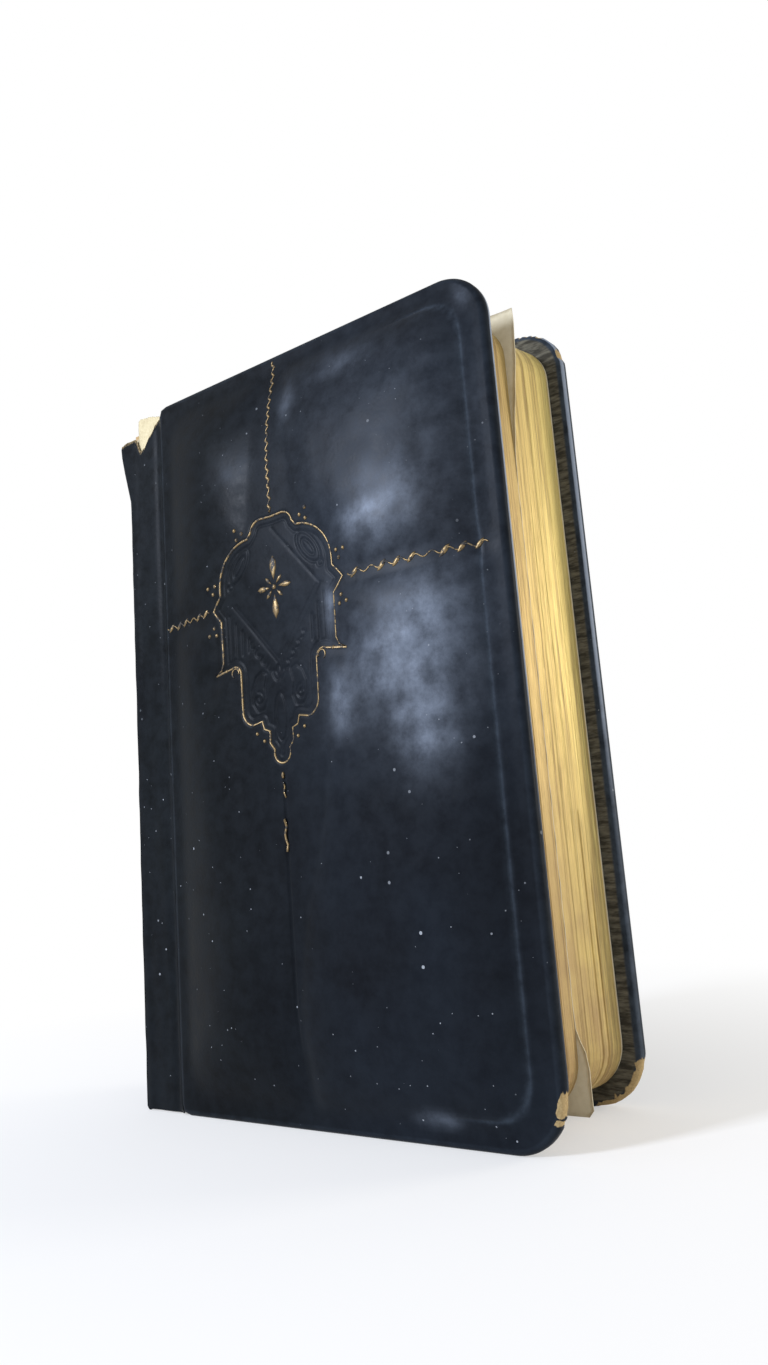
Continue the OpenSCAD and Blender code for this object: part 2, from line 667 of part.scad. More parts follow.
module front_gilt() color(gilt_colour) {
    rim_gap = border_w * 0.4;
    rope_gap = 1.5;
    panel_line();
    rope([0, top_cusp + rope_gap], [0, to_head - rim_gap]);
    rope([side_cusp + rope_gap, 0], [to_fore - border_w, 0]);
    rope([-side_cusp - rope_gap, 0], [rim_gap - to_joint, 0]);
    rope([0, -pendant_drop - rope_gap], [0, -pendant_drop - rope_gap - lower_rope_l]);
    flower();
    for (s = [-1, 1]) {
        dot_cluster([s * (panel_half - 6.8), top_cusp - 1.8], 90 - s * 35);
        dot_cluster([s * side_cusp, 5.2], 90 - s * 70);
        dot_cluster([s * side_cusp, -5.2], -90 + s * 70);
        dot([s * 6.9, 7 - pendant_drop]);
        dot([s * 4.9, 5.2 - pendant_drop]);
    }
}

text_block();
front_flyleaf();
back_flyleaf();
spine_lining();
head_band();
tail_band();
hinge_lining();
spine_inlay();
spine_leather();
loose_leaf();
front_board();
front_padding();
front_leather();
front_pastedown();
front_gilt();
back_board();
back_leather();
back_pastedown();
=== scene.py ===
# %% [markdown]
# # An antique leather book with a padded, gilt tooled cover
#
# This notebook dresses a ready made frame of the book. The frame holds every solid piece in
# metres, with the book standing on its tail: spine at -X, fore-edge at +X, front cover at -Y.
# Each cell makes one piece or one finish, and says what it is on the real book.

import math

import bpy
import numpy as np
from mathutils import Matrix, Vector


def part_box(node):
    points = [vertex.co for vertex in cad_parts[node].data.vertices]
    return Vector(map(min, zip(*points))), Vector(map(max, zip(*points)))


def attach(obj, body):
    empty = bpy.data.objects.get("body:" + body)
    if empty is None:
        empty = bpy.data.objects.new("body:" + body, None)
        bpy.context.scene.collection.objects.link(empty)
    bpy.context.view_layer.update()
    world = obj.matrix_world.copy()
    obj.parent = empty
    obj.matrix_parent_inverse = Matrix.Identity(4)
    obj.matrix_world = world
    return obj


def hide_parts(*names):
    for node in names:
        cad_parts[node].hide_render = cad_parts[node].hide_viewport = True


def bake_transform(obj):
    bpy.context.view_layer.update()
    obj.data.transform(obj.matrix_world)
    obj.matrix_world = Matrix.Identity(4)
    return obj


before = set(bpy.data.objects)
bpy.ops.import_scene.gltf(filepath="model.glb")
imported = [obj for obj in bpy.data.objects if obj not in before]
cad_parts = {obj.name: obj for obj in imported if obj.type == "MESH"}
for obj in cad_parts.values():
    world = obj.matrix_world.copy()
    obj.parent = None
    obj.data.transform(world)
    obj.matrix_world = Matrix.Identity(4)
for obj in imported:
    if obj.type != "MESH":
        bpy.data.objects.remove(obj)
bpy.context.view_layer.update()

# %% [markdown]
# ## Sizes
#
# All lengths are written in millimetres, because a bookbinder measures in them, and turned to
# metres when a mesh is made. The main lines come from the frame's own pieces, so that the dressed
# book always fits it.

# %% Main lines of the book
MM = 0.001


def box_mm(node):
    """Lowest and highest corner of a frame piece, in millimetres."""
    low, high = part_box(node)
    return np.array(low) / MM, np.array(high) / MM


# Leather, cover, the boards' inset and half of the slit that lets a cover turn
leather_t, cover_t, board_inset, slit_half = 0.8, 3.0, 1.0, 0.4
# Width of the joint's strip, and how far it lies below the covers' faces
joint_w, joint_sink = 12.3, 0.8
# Free width beside the pages, and the thickness of a flyleaf
page_slack, flyleaf_t = 0.3, 0.2
board_low, board_high = box_mm("front_board")
x_joint, x_fore = board_low[0] - board_inset, board_high[0] + board_inset
cover_h = board_high[2] + board_inset
y_front = board_low[1] - leather_t
y_back = box_mm("back_board")[1][1] + leather_t
y_mid = (y_front + y_back) / 2
x_hinge = box_mm("spine_leather")[1][0] + slit_half
x_shoulder = x_joint - joint_w
# The ropes cross in the panel, 57.5 mm from the fore-edge and at two thirds of the height
panel_x, cross_h = x_fore - 57.5, cover_h * 111.6 / 170
print("leaf", box_mm("loose_leaf"), "pages", box_mm("text_block"))
print("cover", x_joint, x_fore, cover_h, "faces", y_front, y_back, "hinge", x_hinge)

# %% [markdown]
# ## Making meshes
#
# Most pieces of a book are sheets: leather, paper, cloth. A sheet is easiest to make as a net of
# points in rows and columns, whose squares become the faces. The net's points come from plain
# arithmetic, so a fold, a dent or a worn edge is one more term in the sum. A sheet that is seen
# from both sides is two nets with a strip round their edges.

# %% Mesh helpers
def net_faces(rows, columns, wrap=False, start=0):
    """Squares of a net of points; wrap joins its last column to its first."""
    i = np.arange(rows - 1)[:, None]
    j = np.arange(columns if wrap else columns - 1)[None, :]
    a = start + i * columns + j
    b = start + i * columns + (j + 1) % columns
    return np.stack([a, b, b + columns, a + columns], -1).reshape(-1, 4).tolist()


def edge_loop(rows, columns):
    """Numbers of the points round the edge of a net, in order."""
    index = np.arange(rows * columns).reshape(rows, columns)
    return np.concatenate([index[:-1, 0], index[-1, :-1], index[:0:-1, -1], index[0, :0:-1]])


def sheet_faces(rows, columns):
    """Faces of a thin sheet: a net, a second net behind it, and the strip round their edges."""
    count = rows * columns
    faces = net_faces(rows, columns)
    faces += [[corner + count for corner in reversed(face)] for face in faces]
    loop = edge_loop(rows, columns)
    for a, b in zip(loop.tolist(), np.roll(loop, -1).tolist()):
        faces.append([b, a, a + count, b + count])
    return faces


def make_piece(name, points, faces, material, attributes=None, smooth=True):
    """A mesh object from points in millimetres, with its faces turned outwards."""
    mesh = bpy.data.meshes.new(name)
    mesh.from_pydata((np.asarray(points, float) * MM).tolist(), [], faces)
    mesh.update()
    mesh.calc_loop_triangles()
    corners = np.empty(len(mesh.loop_triangles) * 3, int)
    mesh.loop_triangles.foreach_get("vertices", corners)
    places = np.asarray(points, float)[corners].reshape(-1, 3, 3)
    volume = np.einsum("ij,ij->i", places[:, 0], np.cross(places[:, 1], places[:, 2])).sum()
    if volume < 0:
        mesh.flip_normals()
    for key, values in (attributes or {}).items():
        layer = mesh.attributes.new(key, "FLOAT", "POINT")
        layer.data.foreach_set("value", np.asarray(values, np.float32))
    mesh.polygons.foreach_set("use_smooth", [smooth] * len(mesh.polygons))
    mesh.materials.append(material)
    thing = bpy.data.objects.new(name, mesh)
    bpy.context.scene.collection.objects.link(thing)
    print(name, len(points), "points", len(faces), "faces")
    return thing


def smoothstep(t):
    """Soft step from 0 to 1 as t goes from 0 to 1."""
    t = np.clip(t, 0, 1)
    return t * t * (3 - 2 * t)


def soft_min(a, b, k):
    """The smaller of two distances, with the crease between them rounded over k."""
    h = np.maximum(k - np.abs(a - b), 0) / k
    return np.minimum(a, b) - h * h * k / 4


def waves(x, z, length, seed, count=14):
    """Smooth random unevenness between about -1 and 1, with waves of about one length."""
    draw = np.random.default_rng(seed)
    total = np.zeros(np.broadcast(x, z).shape)
    for _ in range(count):
        turn = draw.uniform(0, 2 * math.pi)
        pitch = 2 * math.pi / (length * draw.uniform(0.7, 1.6))
        shift = draw.uniform(0, 2 * math.pi)
        total = total + np.sin(pitch * (x * math.cos(turn) + z * math.sin(turn)) + shift)
    return total / math.sqrt(count) / 1.4


# %% [markdown]
# ## Materials
#
# A finish is built from what the real one is. One helper adds any shader node: its sockets are
# given in order or by name, each with a value or with another node's output. A colour is written
# as the sRGB hex value that a colour picker gives, which one function turns to the linear values
# that the shader needs. The size of a pattern is worked out from a length in millimetres.

# %% Shader helpers
def linear(hex_colour):
    """Linear colour, with alpha, from an sRGB hex value."""
    parts = [int(hex_colour[i:i + 2], 16) / 255 for i in (1, 3, 5)]
    return tuple(c / 12.92 if c <= 0.04045 else ((c + 0.055) / 1.055) ** 2.4 for c in parts) + (1,)


def add(tree, kind, links, **settings):
    """Outputs of one new shader node, whose sockets get values or other nodes' outputs."""
    node = tree.nodes.new("ShaderNode" + kind)
    for key, value in settings.items():
        setattr(node, key, value)
    for key, value in links.items() if isinstance(links, dict) else enumerate(links):
        if isinstance(value, bpy.types.NodeSocket):
            tree.links.new(value, node.inputs[key])
        else:
            node.inputs[key].default_value = value
    return node.outputs


def new_material(name):
    """An empty material, its node tree and the place of a point on the book, in metres."""
    material = bpy.data.materials.new(name)
    material.use_nodes = True
    tree = material.node_tree
    tree.nodes.clear()
    return material, tree, add(tree, "TexCoord", {})["Object"]


def per_mm(length):
    """Scale of a pattern that repeats about once in a length in millimetres."""
    return 1 / (length * MM)


# %% [markdown]
# ### Black leather
#
# The book is bound in leather dyed to a dark, nearly black navy, pressed smooth and polished with
# age. Towards the spine it is painted blacker and less blue, as painted shade. Its grain is of very
# shallow cells. Leather has an IOR of about 1.5 and a roughness of 0.3 to 0.5; hands have rubbed it
# unevenly, so that its roughness varies in patches. Old wax and dust dull the mirror part of that
# shine, so its specular level is far below the usual one. Pale blue grey clouds on the cushions and
# a line along the rim are a painted highlight, with a few paler smears among them. A greyer blue is
# painted on the back cover's rim and along the front's border line as a painted highlight, and on
# the head cap as real rubbing. Places worn through show buff fibres, and pale dust sits in the
# pores, mostly in the lower half. The leather that is turned in over the boards is brown grey and
# fibrous. Four point attributes of the mesh say where each of these shows: wear, the rubbed and
# painted greyer blue, the painted highlight with its smears, and the turned in leather. The finish
# is built as layers: each layer has a share and a colour, and is laid over the ones before it.

# %% Leather
def dust(tree, place, spacing, share, radius):
    """Round specks of dust: one cell in so many holds one, with its radius in cells."""
    cell = add(tree, "TexVoronoi", {"Vector": place, "Scale": per_mm(spacing), "Randomness": 1.0})
    lot = add(tree, "SeparateColor", {"Color": cell["Color"]})
    size = add(tree, "MapRange", [lot["Green"], 0, 1, 0.3 * radius, radius])[0]
    inside = add(tree, "Math", [cell["Distance"], size], operation="LESS_THAN")[0]
    chosen = add(tree, "MapRange", [lot["Red"], 1 - share, 1.02 - share])[0]
    return add(tree, "Math", [inside, chosen], operation="MULTIPLY")[0]


def leather(name):
    """Polished dark leather with wear, dust and fine grain, painted shade towards the spine and
    painted highlights.
    """
    material, tree, place = new_material(name)
    axes = add(tree, "SeparateXYZ", {"Vector": place})
    upright = add(tree, "Mapping", {"Vector": place, "Scale": (0.3, 1, 1.6)})[0]
    cells = add(tree, "TexVoronoi", {"Vector": place, "Scale": per_mm(0.9), "Randomness": 1.0},
                feature="SMOOTH_F1")["Distance"]
    fine, broad, patch, ticks = [
        add(tree, "TexNoise", {"Vector": where, "Scale": per_mm(length), "Detail": detail,
                               "Roughness": rough})["Fac"]
        for where, length, detail, rough in ((place, 0.4, 3.0, 0.5), (place, 22.0, 3.0, 0.5),
                                             (place, 3.2, 5.0, 0.68), (upright, 1.6, 3.0, 0.7))]
    worn, rubbed, sheen_and_smear, inner = [add(tree, "Attribute", {}, attribute_name=key)["Fac"]
                                 for key in ("worn", "rubbed", "sheen_and_smear", "inner")]
    tone = add(tree, "MapRange", [broad, 0.35, 0.65])[0]
    # Painted shade: towards the spine the leather is painted blacker and less blue.
    painted_shade_fades_to_fore = add(tree, "MapRange", [axes["X"], -0.015, 0.02])[0]
    # Mottling of the painted highlight and its smears.
    sheen_mottle = add(tree, "MapRange", [patch, 0.32, 0.68, 0.45, 1.0])[0]
    smeared = add(tree, "MapRange", [patch, 0.3, 0.6, 0.3, 1.0])[0]
    flecked = add(tree, "MapRange", [ticks, 0.4, 0.65])[0]
    low_down = add(tree, "MapRange", [axes["Z"], 0.10, 0.05, 0.45, 1.0])[0]
    in_drifts = add(tree, "MapRange", [broad, 0.35, 0.6, 0.3, 0.8])[0]
    specks = add(tree, "Math", [dust(tree, place, 3.4, 0.36, 0.10),
                                dust(tree, place, 1.3, 0.13, 0.12)], operation="MAXIMUM")[0]
    # The first share is the painted highlight with a few smears; the second is real rubbing, with a
    # painted highlight on the back rim and the front's border line.
    sheen_and_smear_share, rub, settled, fray, flecks = [
        add(tree, "Math", pair, operation="MULTIPLY")[0]
        for pair in ((sheen_mottle, sheen_and_smear), (rubbed, smeared), (low_down, in_drifts), (fine, 0.3),
                     (ticks, inner))]
    dusty = add(tree, "Math", [specks, settled], operation="MULTIPLY")[0]
    torn = add(tree, "Math", [worn, fray], operation="ADD")[0]
    torn = add(tree, "MapRange", [torn, 0.55, 0.72])[0]
    # The second colour pair, nearly black, is the painted shade for the spine side.
    navy, painted_shade_black, turned_in, fibres = [
        add(tree, "Mix", {0: share, 6: linear(low), 7: linear(high)}, data_type="RGBA")[2]
        for share, low, high in ((tone, "#0F1115", "#15191F"), (tone, "#090A0B", "#0F1112"),
                                 (flecked, "#3A3832", "#6A675C"), (fine, "#8A7048", "#CFB88A"))]
    # Layers over the painted shade: navy, the pale blue grey painted highlight, the greyer blue of
    # rubbing and painted highlight, turned in leather, dust and worn fibres.
    colour = painted_shade_black
    for share, layer in ((painted_shade_fades_to_fore, navy), (sheen_and_smear_share, linear("#929CAC")),
                         (rub, linear("#5A6674")), (inner, turned_in),
                         (dusty, linear("#A3A8AE")), (torn, fibres)):
        colour = add(tree, "Mix", {0: share, 6: colour, 7: layer}, data_type="RGBA")[2]
    rough = add(tree, "MapRange", [patch, 0.35, 0.7, 0.30, 0.44])[0]
    for share, more in ((torn, 0.4), (inner, 0.3)):
        rough = add(tree, "Math", [share, more, rough], operation="MULTIPLY_ADD")[0]
    bump = {}
    for height, depth in ((patch, 0.022), (cells, 0.014), (flecks, 0.12)):
        bump = {"Normal": add(tree, "Bump", {"Height": height, "Distance": depth * MM,
                                             "Strength": 1.0, **bump})[0]}
    shader = add(tree, "BsdfPrincipled", {"Base Color": colour, "Roughness": rough, "IOR": 1.5,
                                          "Specular IOR Level": 0.03, **bump})
    add(tree, "OutputMaterial", {"Surface": shader[0]})
    return material


navy_leather = leather("polished navy leather")

# %% [markdown]
# ### Gold tooling
#
# The lines, dots and rope strands are gold leaf, pressed through with a hot tool. Gold is a metal,
# so its colour is its reflection and it keeps the default IOR. Old gold leaf is matt, with a
# roughness of about 0.4, and it is rubbed off in places, where the leather shows through.

# %% Gold leaf
def gold_leaf(name):
    """Aged gold leaf, rubbed off in patches of about a millimetre."""
    material, tree, place = new_material(name)
    patch, tone = [
        add(tree, "TexNoise", {"Vector": place, "Scale": per_mm(length), "Detail": detail,
                               "Roughness": rough})["Fac"]
        for length, detail, rough in ((1.2, 3.0, 0.6), (5.0, 2.0, 0.5))]
    rub = add(tree, "MapRange", [patch, 0.42, 0.50, 1.0, 0.0])[0]
    colour = add(tree, "Mix", {0: tone, 6: linear("#6A5A44"), 7: linear("#9E8861")},
                 data_type="RGBA")[2]
    colour = add(tree, "Mix", {0: rub, 6: colour, 7: linear("#241F1A")}, data_type="RGBA")[2]
    shader = add(tree, "BsdfPrincipled", {
        "Base Color": colour,
        "Roughness": add(tree, "MapRange", [rub, 0, 1, 0.45, 0.6])[0],
        "Metallic": add(tree, "MapRange", [rub, 0, 1, 1.0, 0.0])[0],
        "Normal": add(tree, "Bump", {"Height": patch, "Distance": 0.06 * MM,
                                     "Strength": 1.0})[0]})
    add(tree, "OutputMaterial", {"Surface": shader[0]})
    return material


tooled_gold = gold_leaf("aged gold leaf tooling")

# %% [markdown]
# ### Gilt page edges, paper, board, cloth and thread
#
# The edges of the pages are gilt while the block is held tight in a press, so the leaves' fine
# lines show through the gold: they run along the edges, and are very narrow across them. The gold
# is painted brighter towards the back cover as a painted reflection, painted darker in bands
# between groups of leaves as painted shade, and rubbed to brown paper at the tail. It is thin and
# worn, so it is only partly a metal. The shoulder beside the joint was never gilt. Paper, board and
# cloth are all
# matt: an IOR of about 1.5, a roughness of 0.9, and colours between cream and buff from age and
# dirt.

# %% Gilt edges
def gilt_edges():
    """Gold on the leaves' edges, with a painted reflection towards the back cover, painted shade
    between groups of leaves, and rubbed to brown at the tail.
    """
    material, tree, place = new_material("gilt page edges")
    axes = add(tree, "SeparateXYZ", {"Vector": place})
    along_leaves, along_groups = [add(tree, "Mapping", {"Vector": place, "Scale": scale})[0]
                                  for scale in ((0.09, 18.0, 0.09), (0.02, 1.0, 0.02))]
    lines, patch, groups = [
        add(tree, "TexNoise", {"Vector": where, "Scale": per_mm(length), "Detail": 4.0,
                               "Roughness": rough})["Fac"]
        for where, length, rough in ((along_leaves, 3.5, 0.7), (place, 9.0, 0.6),
                                     (along_groups, 1.6, 0.7))]
    streak = add(tree, "MapRange", [lines, 0.3, 0.7])[0]
    patchy = add(tree, "MapRange", [patch, 0.35, 0.7, 0.25, 1.0])[0]
    low_down = add(tree, "MapRange", [axes["Z"], 0.080, 0.0])[0]
    # Painted reflection: the gold is painted brighter towards the back cover.
    painted_rear_reflection = add(tree, "MapRange", [axes["Y"], y_mid * MM - 0.012, y_mid * MM + 0.014])[0]
    # Painted shade: the gold is painted darker in bands between groups of leaves.
    painted_crevice_shade = add(tree, "MapRange", [groups, 0.36, 0.50, 0.65, 0.0])[0]
    rub = add(tree, "Math", [patchy, low_down], operation="MULTIPLY")[0]
    shoulder = add(tree, "MapRange", [axes["X"], (x_joint - 0.8) * MM, (x_joint - 1.2) * MM])[0]
    for outside, inside in ((0.0045, 0.0050), (0.1655, 0.1650)):
        between = add(tree, "MapRange", [axes["Z"], outside, inside])[0]
        shoulder = add(tree, "Math", [shoulder, between], operation="MULTIPLY")[0]
    dark, light, paper = [
        add(tree, "Mix", {0: share, 6: linear(low), 7: linear(high)}, data_type="RGBA")[2]
        for share, low, high in ((painted_rear_reflection, "#8C6F45", "#CDB268"), (painted_rear_reflection, "#C6A66C", "#F2DF8E"),
                                 (lines, "#8A6844", "#BE9C70"))]
    colour = dark
    for share, layer in ((streak, light), (rub, paper), (painted_crevice_shade, linear("#7A6038")),
                         (shoulder, linear("#BFB08C"))):
        colour = add(tree, "Mix", {0: share, 6: colour, 7: layer}, data_type="RGBA")[2]
    bare = add(tree, "Math", [rub, shoulder], operation="MAXIMUM")[0]
    shader = add(tree, "BsdfPrincipled", {
        "Base Color": colour,
        "Roughness": add(tree, "MapRange", [bare, 0, 1, 0.42, 0.75])[0],
        "Metallic": add(tree, "MapRange", [bare, 0, 0.8, 0.4, 0.0])[0],
        "Normal": add(tree, "Bump", {"Height": lines, "Distance": 0.10 * MM,
                                     "Strength": 1.0})[0]})
    add(tree, "OutputMaterial", {"Surface": shader[0]})
    return material


page_gilt = gilt_edges()


# %% Paper, board, cloth and thread
def fibrous(name, low, high, fibre_length, depth, stain=None):
    """A matt fibrous sheet: paper, board or cloth."""
    material, tree, place = new_material(name)
    fibre, patch = [
        add(tree, "TexNoise", {"Vector": place, "Scale": per_mm(length), "Detail": detail,
                               "Roughness": rough})["Fac"]
        for length, detail, rough in ((fibre_length, 5.0, 0.65), (14.0, 3.0, 0.6))]
    colour = add(tree, "Mix", {0: fibre, 6: linear(low), 7: linear(high)}, data_type="RGBA")[2]
    if stain:
        share = add(tree, "MapRange", [patch, 0.5, 0.8, 0.0, 0.6])[0]
        colour = add(tree, "Mix", {0: share, 6: colour, 7: linear(stain)}, data_type="RGBA")[2]
    bump = add(tree, "Bump", {"Height": fibre, "Distance": depth * MM, "Strength": 1.0})[0]
    shader = add(tree, "BsdfPrincipled", {"Base Color": colour, "Roughness": 0.9, "IOR": 1.5,
                                          "Specular IOR Level": 0.4, "Normal": bump})
    add(tree, "OutputMaterial", {"Surface": shader[0]})
    return material


leaf_paper = fibrous("old laid paper", "#C9BE9E", "#E6DEC6", 1.5, 0.03, "#A89468")
end_paper = fibrous("cream endpaper", "#BFB08C", "#D9CDAE", 2.0, 0.03, "#9C8660")
paste_board = fibrous("pasteboard", "#8A6D49", "#BC9C70", 0.8, 0.12)
lining_cloth = fibrous("glued mull lining", "#B5A57F", "#DCD0AC", 0.7, 0.08, "#8F7A55")
head_thread = fibrous("silk headband thread", "#A08A62", "#D8C79A", 0.4, 0.05)

# %% [markdown]
# ## The padded front cover
#
# A padded binding has wadding between its board and its leather. The binder pressed a sunk panel
# and four narrow valleys into it, so that four soft cushions stand between them. The leather's
# height over the border is worked out at each point: a crown that rises from the border, plus a
# cushion that swells where the point is clear of valleys, panel and border. The distance to the
# panel's outline is a signed distance to its polygon, the way that many sculpting tools work.

# %% Outline of the sunk panel
def arc(cx, cz, r, start, end, steps):
    """Points of an arc, by its centre, radius and angles in degrees."""
    return [(cx + r * math.cos(math.radians(start + (end - start) * i / steps)),
             cz + r * math.sin(math.radians(start + (end - start) * i / steps)))
            for i in range(steps + 1)]


top_cusp, side_cusp, pendant = 18.0, 19.7, 37.0
panel_right = [(0, top_cusp)]
panel_right += arc(3.3, top_cusp - 2.8, 3.0, 100, 8, 8)
panel_right += arc(7.0, 4.4, 10.0, 88, 4, 14)
panel_right += [(17.0, 3.0), (18.1, 1.9), (side_cusp, 0), (18.1, -1.9)]
panel_right += [(17.0, -3.0), (16.8, -12.6), (17.6, -14.2), (19.5, -15.2)]
panel_right += arc(13.1, -16.0, 1.9, 60, 175, 8)
panel_right += arc(7.5, 12.6 - pendant, 3.6, 0, -80, 8)
panel_right += [(5.4, 9.6 - pendant), (4.9, 7.8 - pendant), (3.3, 7.2 - pendant),
                (3.4, 4.6 - pendant)]
panel_right += arc(0, 2.3 - pendant, 2.3, 20, -90, 6)
panel_outline = np.array(panel_right + [(-x, z) for x, z in panel_right[-2:0:-1]])
print("panel outline", len(panel_outline), "points")


def distance_to(points, line, closed=False):
    """Distance of each point to a line of straight pieces, all in the panel's plane."""
    line = np.asarray(line, float)
    ends = np.roll(line, -1, 0) if closed else line[1:]
    starts = line if closed else line[:-1]
    best = np.full(points.shape[:-1], 1e9)
    for a, b in zip(starts, ends):
        run = b - a
        share = np.clip(((points - a) @ run) / max(run @ run, 1e-9), 0, 1)
        best = np.minimum(best, np.linalg.norm(points - a - share[..., None] * run, axis=-1))
    return best


def signed_distance(points, loop):
    """Distance to a closed loop, below zero inside it."""
    inside = np.zeros(points.shape[:-1], bool)
    for (ax, az), (bx, bz) in zip(loop, np.roll(loop, -1, 0)):
        if az == bz:
            continue
        crosses = (az > points[..., 1]) != (bz > points[..., 1])
        at = ax + (points[..., 1] - az) * (bx - ax) / (bz - az)
        inside ^= crosses & (points[..., 0] < at)
    gap = distance_to(points, loop, True)
    return np.where(inside, -gap, gap)


# %% Height of the padded leather
pad_crown, pad_rise, border_w = 4.2, 25.0, 4.0
# Height of a cushion, and how far in from its edge it is round, by its side of the panel
cushion_h, cushion_round, spine_side_round = 1.4, 8.0, 18.0
# Half widths of the upright valley, by height from the crossing, and of the level one
valley_heights = [-cross_h, -86, -69, -54, -38, -25, 0, 19, 33, 43, 52, cover_h - cross_h]
valley_widths = [0.9, 1.4, 4.6, 9.6, 13.0, 14.2, 14.2, 7.7, 6.4, 5.1, 3.8, 1.7]
level_valley = 2.2
# Depth of the sunk panel, and of its edge's slope
panel_sink, panel_slope = 0.25, 1.1


def sunk(panel_gap):
    """How far the panel is pressed below the leather round it."""
    return panel_sink * smoothstep((0.7 - panel_gap) / panel_slope)


def edge_distance(x, z):
    """How far a place lies inside the cover's outline."""
    across = soft_min(x_fore - x, x - x_joint, 6)
    return soft_min(across, soft_min(cover_h - z, z, 6), 9)


def padded_height(x, z):
    """Height of the padded leather over the cover's border, without tooling."""
    dx, dz = x - panel_x, z - cross_h
    edge = edge_distance(x, z)
    inside = edge - border_w - 1
    rise = np.clip((inside + np.sqrt(inside ** 2 + 3)) / 2 / pad_rise, 0, 1)
    crown = pad_crown * (1 - (1 - rise) ** 2)
    panel_gap = signed_distance(np.stack([dx, dz], -1), panel_outline) - 1.8
    clear = soft_min(np.abs(dx) - np.interp(dz, valley_heights, valley_widths),
                     np.abs(dz) - level_valley, 3)
    clear = soft_min(clear, panel_gap, 2)
    clear = soft_min(clear, edge - border_w, 3)
    clear = (clear + np.sqrt(clear ** 2 + 0.8)) / 2
    reach = cushion_round + (spine_side_round - cushion_round) * smoothstep((4 - dx) / 8)
    swell = 1 - (1 - np.clip(clear / reach, 0, 1)) ** 2
    cushion = cushion_h * (0.55 * swell + 0.45 * np.sqrt(swell))
    uneven = smoothstep((edge - 3) / 12)
    dents = 0.14 * waves(x, z, 26, 11) + 0.04 * waves(x, z, 10, 12)
    return crown + cushion + (dents - 0.2) * uneven, panel_gap + 1.8


# %% [markdown]
# ### Blind tooling
#
# Inside the gold outline the panel is blind tooled: pressed with the same hot tools, but without
# gold. Each stroke is a line of points, and the leather is pressed down by the distance to it. The
# strokes are common binder's ornament: a diamond, flutes, small curved strokes, teardrops, ovals.
# The diamond's long lines are pressed more lightly than the small tools are.

# %% Strokes of the blind tooling
def ellipse(cx, cz, a, b, tilt, steps=28):
    """Closed oval of points, tilted in degrees."""
    t = np.linspace(0, 2 * math.pi, steps + 1)
    u, v = a * np.cos(t), b * np.sin(t)
    c, s = math.cos(math.radians(tilt)), math.sin(math.radians(tilt))
    return np.stack([cx + u * c - v * s, cz + u * s + v * c], -1)


def spiral(cx, cz, r, turns, start):
    """Spiral that winds in to its centre."""
    t = np.linspace(0, 1, 26)
    angle = math.radians(start) + 2 * math.pi * turns * t
    return np.stack([cx + r * (1 - t) * np.cos(angle), cz + r * (1 - t) * np.sin(angle)], -1)


light_press, tool_press, stroke_half = 0.09, 0.20, 0.30
strokes = [[(0, 15.3), (13.2, 0), (0.3, -15.6), (-13.2, 0)],
           [(-12.2, -0.2), (0.3, -14.5), (12.2, -0.2)]]
light_strokes = len(strokes)
for side in (-1, 1):
    strokes.append(ellipse(side * 10.4, 8.6, 2.1, 4.6, side * 38))
    strokes.append(ellipse(side * 10.4, 8.6, 0.9, 2.6, side * 38, 18))
    strokes.append(ellipse(side * 13.6, 4.3, 0.7, 0.7, 0, 10))
    for k in range(3 if side > 0 else 4):
        x = side * (14.2 - 1.9 * k)
        strokes.append([(x, -2.2 - 2.1 * k), (x, -12.6 + 0.4 * k)])
    for k in range(4):
        cx, cz = side * (7.4 - 1.6 * k), -10.2 - 1.9 * k
        strokes.append([(cx + 0.8 * math.cos(t) * side, cz + 0.8 * math.sin(t))
                        for t in np.linspace(-2.0, 1.2, 8)])
    strokes.append([(side * x, z) for x, z in
                    ((3.6, -17.0), (5.2, -16.4), (7.0, -17.6), (8.2, -20.2), (8.0, -23.2),
                     (6.6, -25.2), (4.8, -25.0), (3.9, -22.8), (4.4, -20.0), (3.6, -17.0))])
    strokes.append([(side * abs(x), z) if side > 0 else (-x, z)
                    for x, z in spiral(6.3, -22.4, 1.6, 1.5, 90)])
    strokes.append(ellipse(side * 1.0, -17.8, 0.5, 1.3, side * -30, 12))
strokes.append(ellipse(0, -27, 1.7, 5.2, 0))
strokes.append(ellipse(0, -17.2, 0.55, 1.6, 0, 12))
print("blind strokes", len(strokes))
# The line along the border: how far in it runs, and how deep it is
border_line_in, border_line_press = 5.8, 0.13


def tooling_depth(x, z, panel_gap):
    """How far tools have pressed the leather down."""
    at = np.stack([x - panel_x, z - cross_h], -1)
    depth = np.zeros(x.shape)
    near = (np.abs(at[..., 0]) < 21.2) & (np.abs(at[..., 1] + 9) < 31)
    spot = at[near]
    pressed = np.zeros(len(spot))
    for number, stroke in enumerate(strokes):
        press = light_press if number < light_strokes else tool_press
        gap = distance_to(spot, stroke)
        pressed = np.maximum(pressed, press * np.exp(-(gap / stroke_half) ** 2))
    inner = 0.16 * np.exp(-((panel_gap[near] + 1.6) / 0.3) ** 2)
    depth[near] = np.maximum(pressed, inner)
    depth += sunk(panel_gap)
    edge = np.minimum(np.minimum(x_fore - x, cover_h - z), z)
    corner = soft_min(soft_min(x_fore - x, cover_h - z, 9), z, 9)
    fore_side = smoothstep((x - x_fore + 30) / 14)
    border_line = np.exp(-((np.minimum(edge, corner) - border_line_in) / 0.26) ** 2)
    border_line = border_line_press * border_line * fore_side
    crease = 0.3 * np.exp(-(at[..., 0] / 0.4) ** 2) * smoothstep((-at[..., 1] - 38) / 3)
    return depth + border_line + crease * smoothstep((z - 12) / 20)


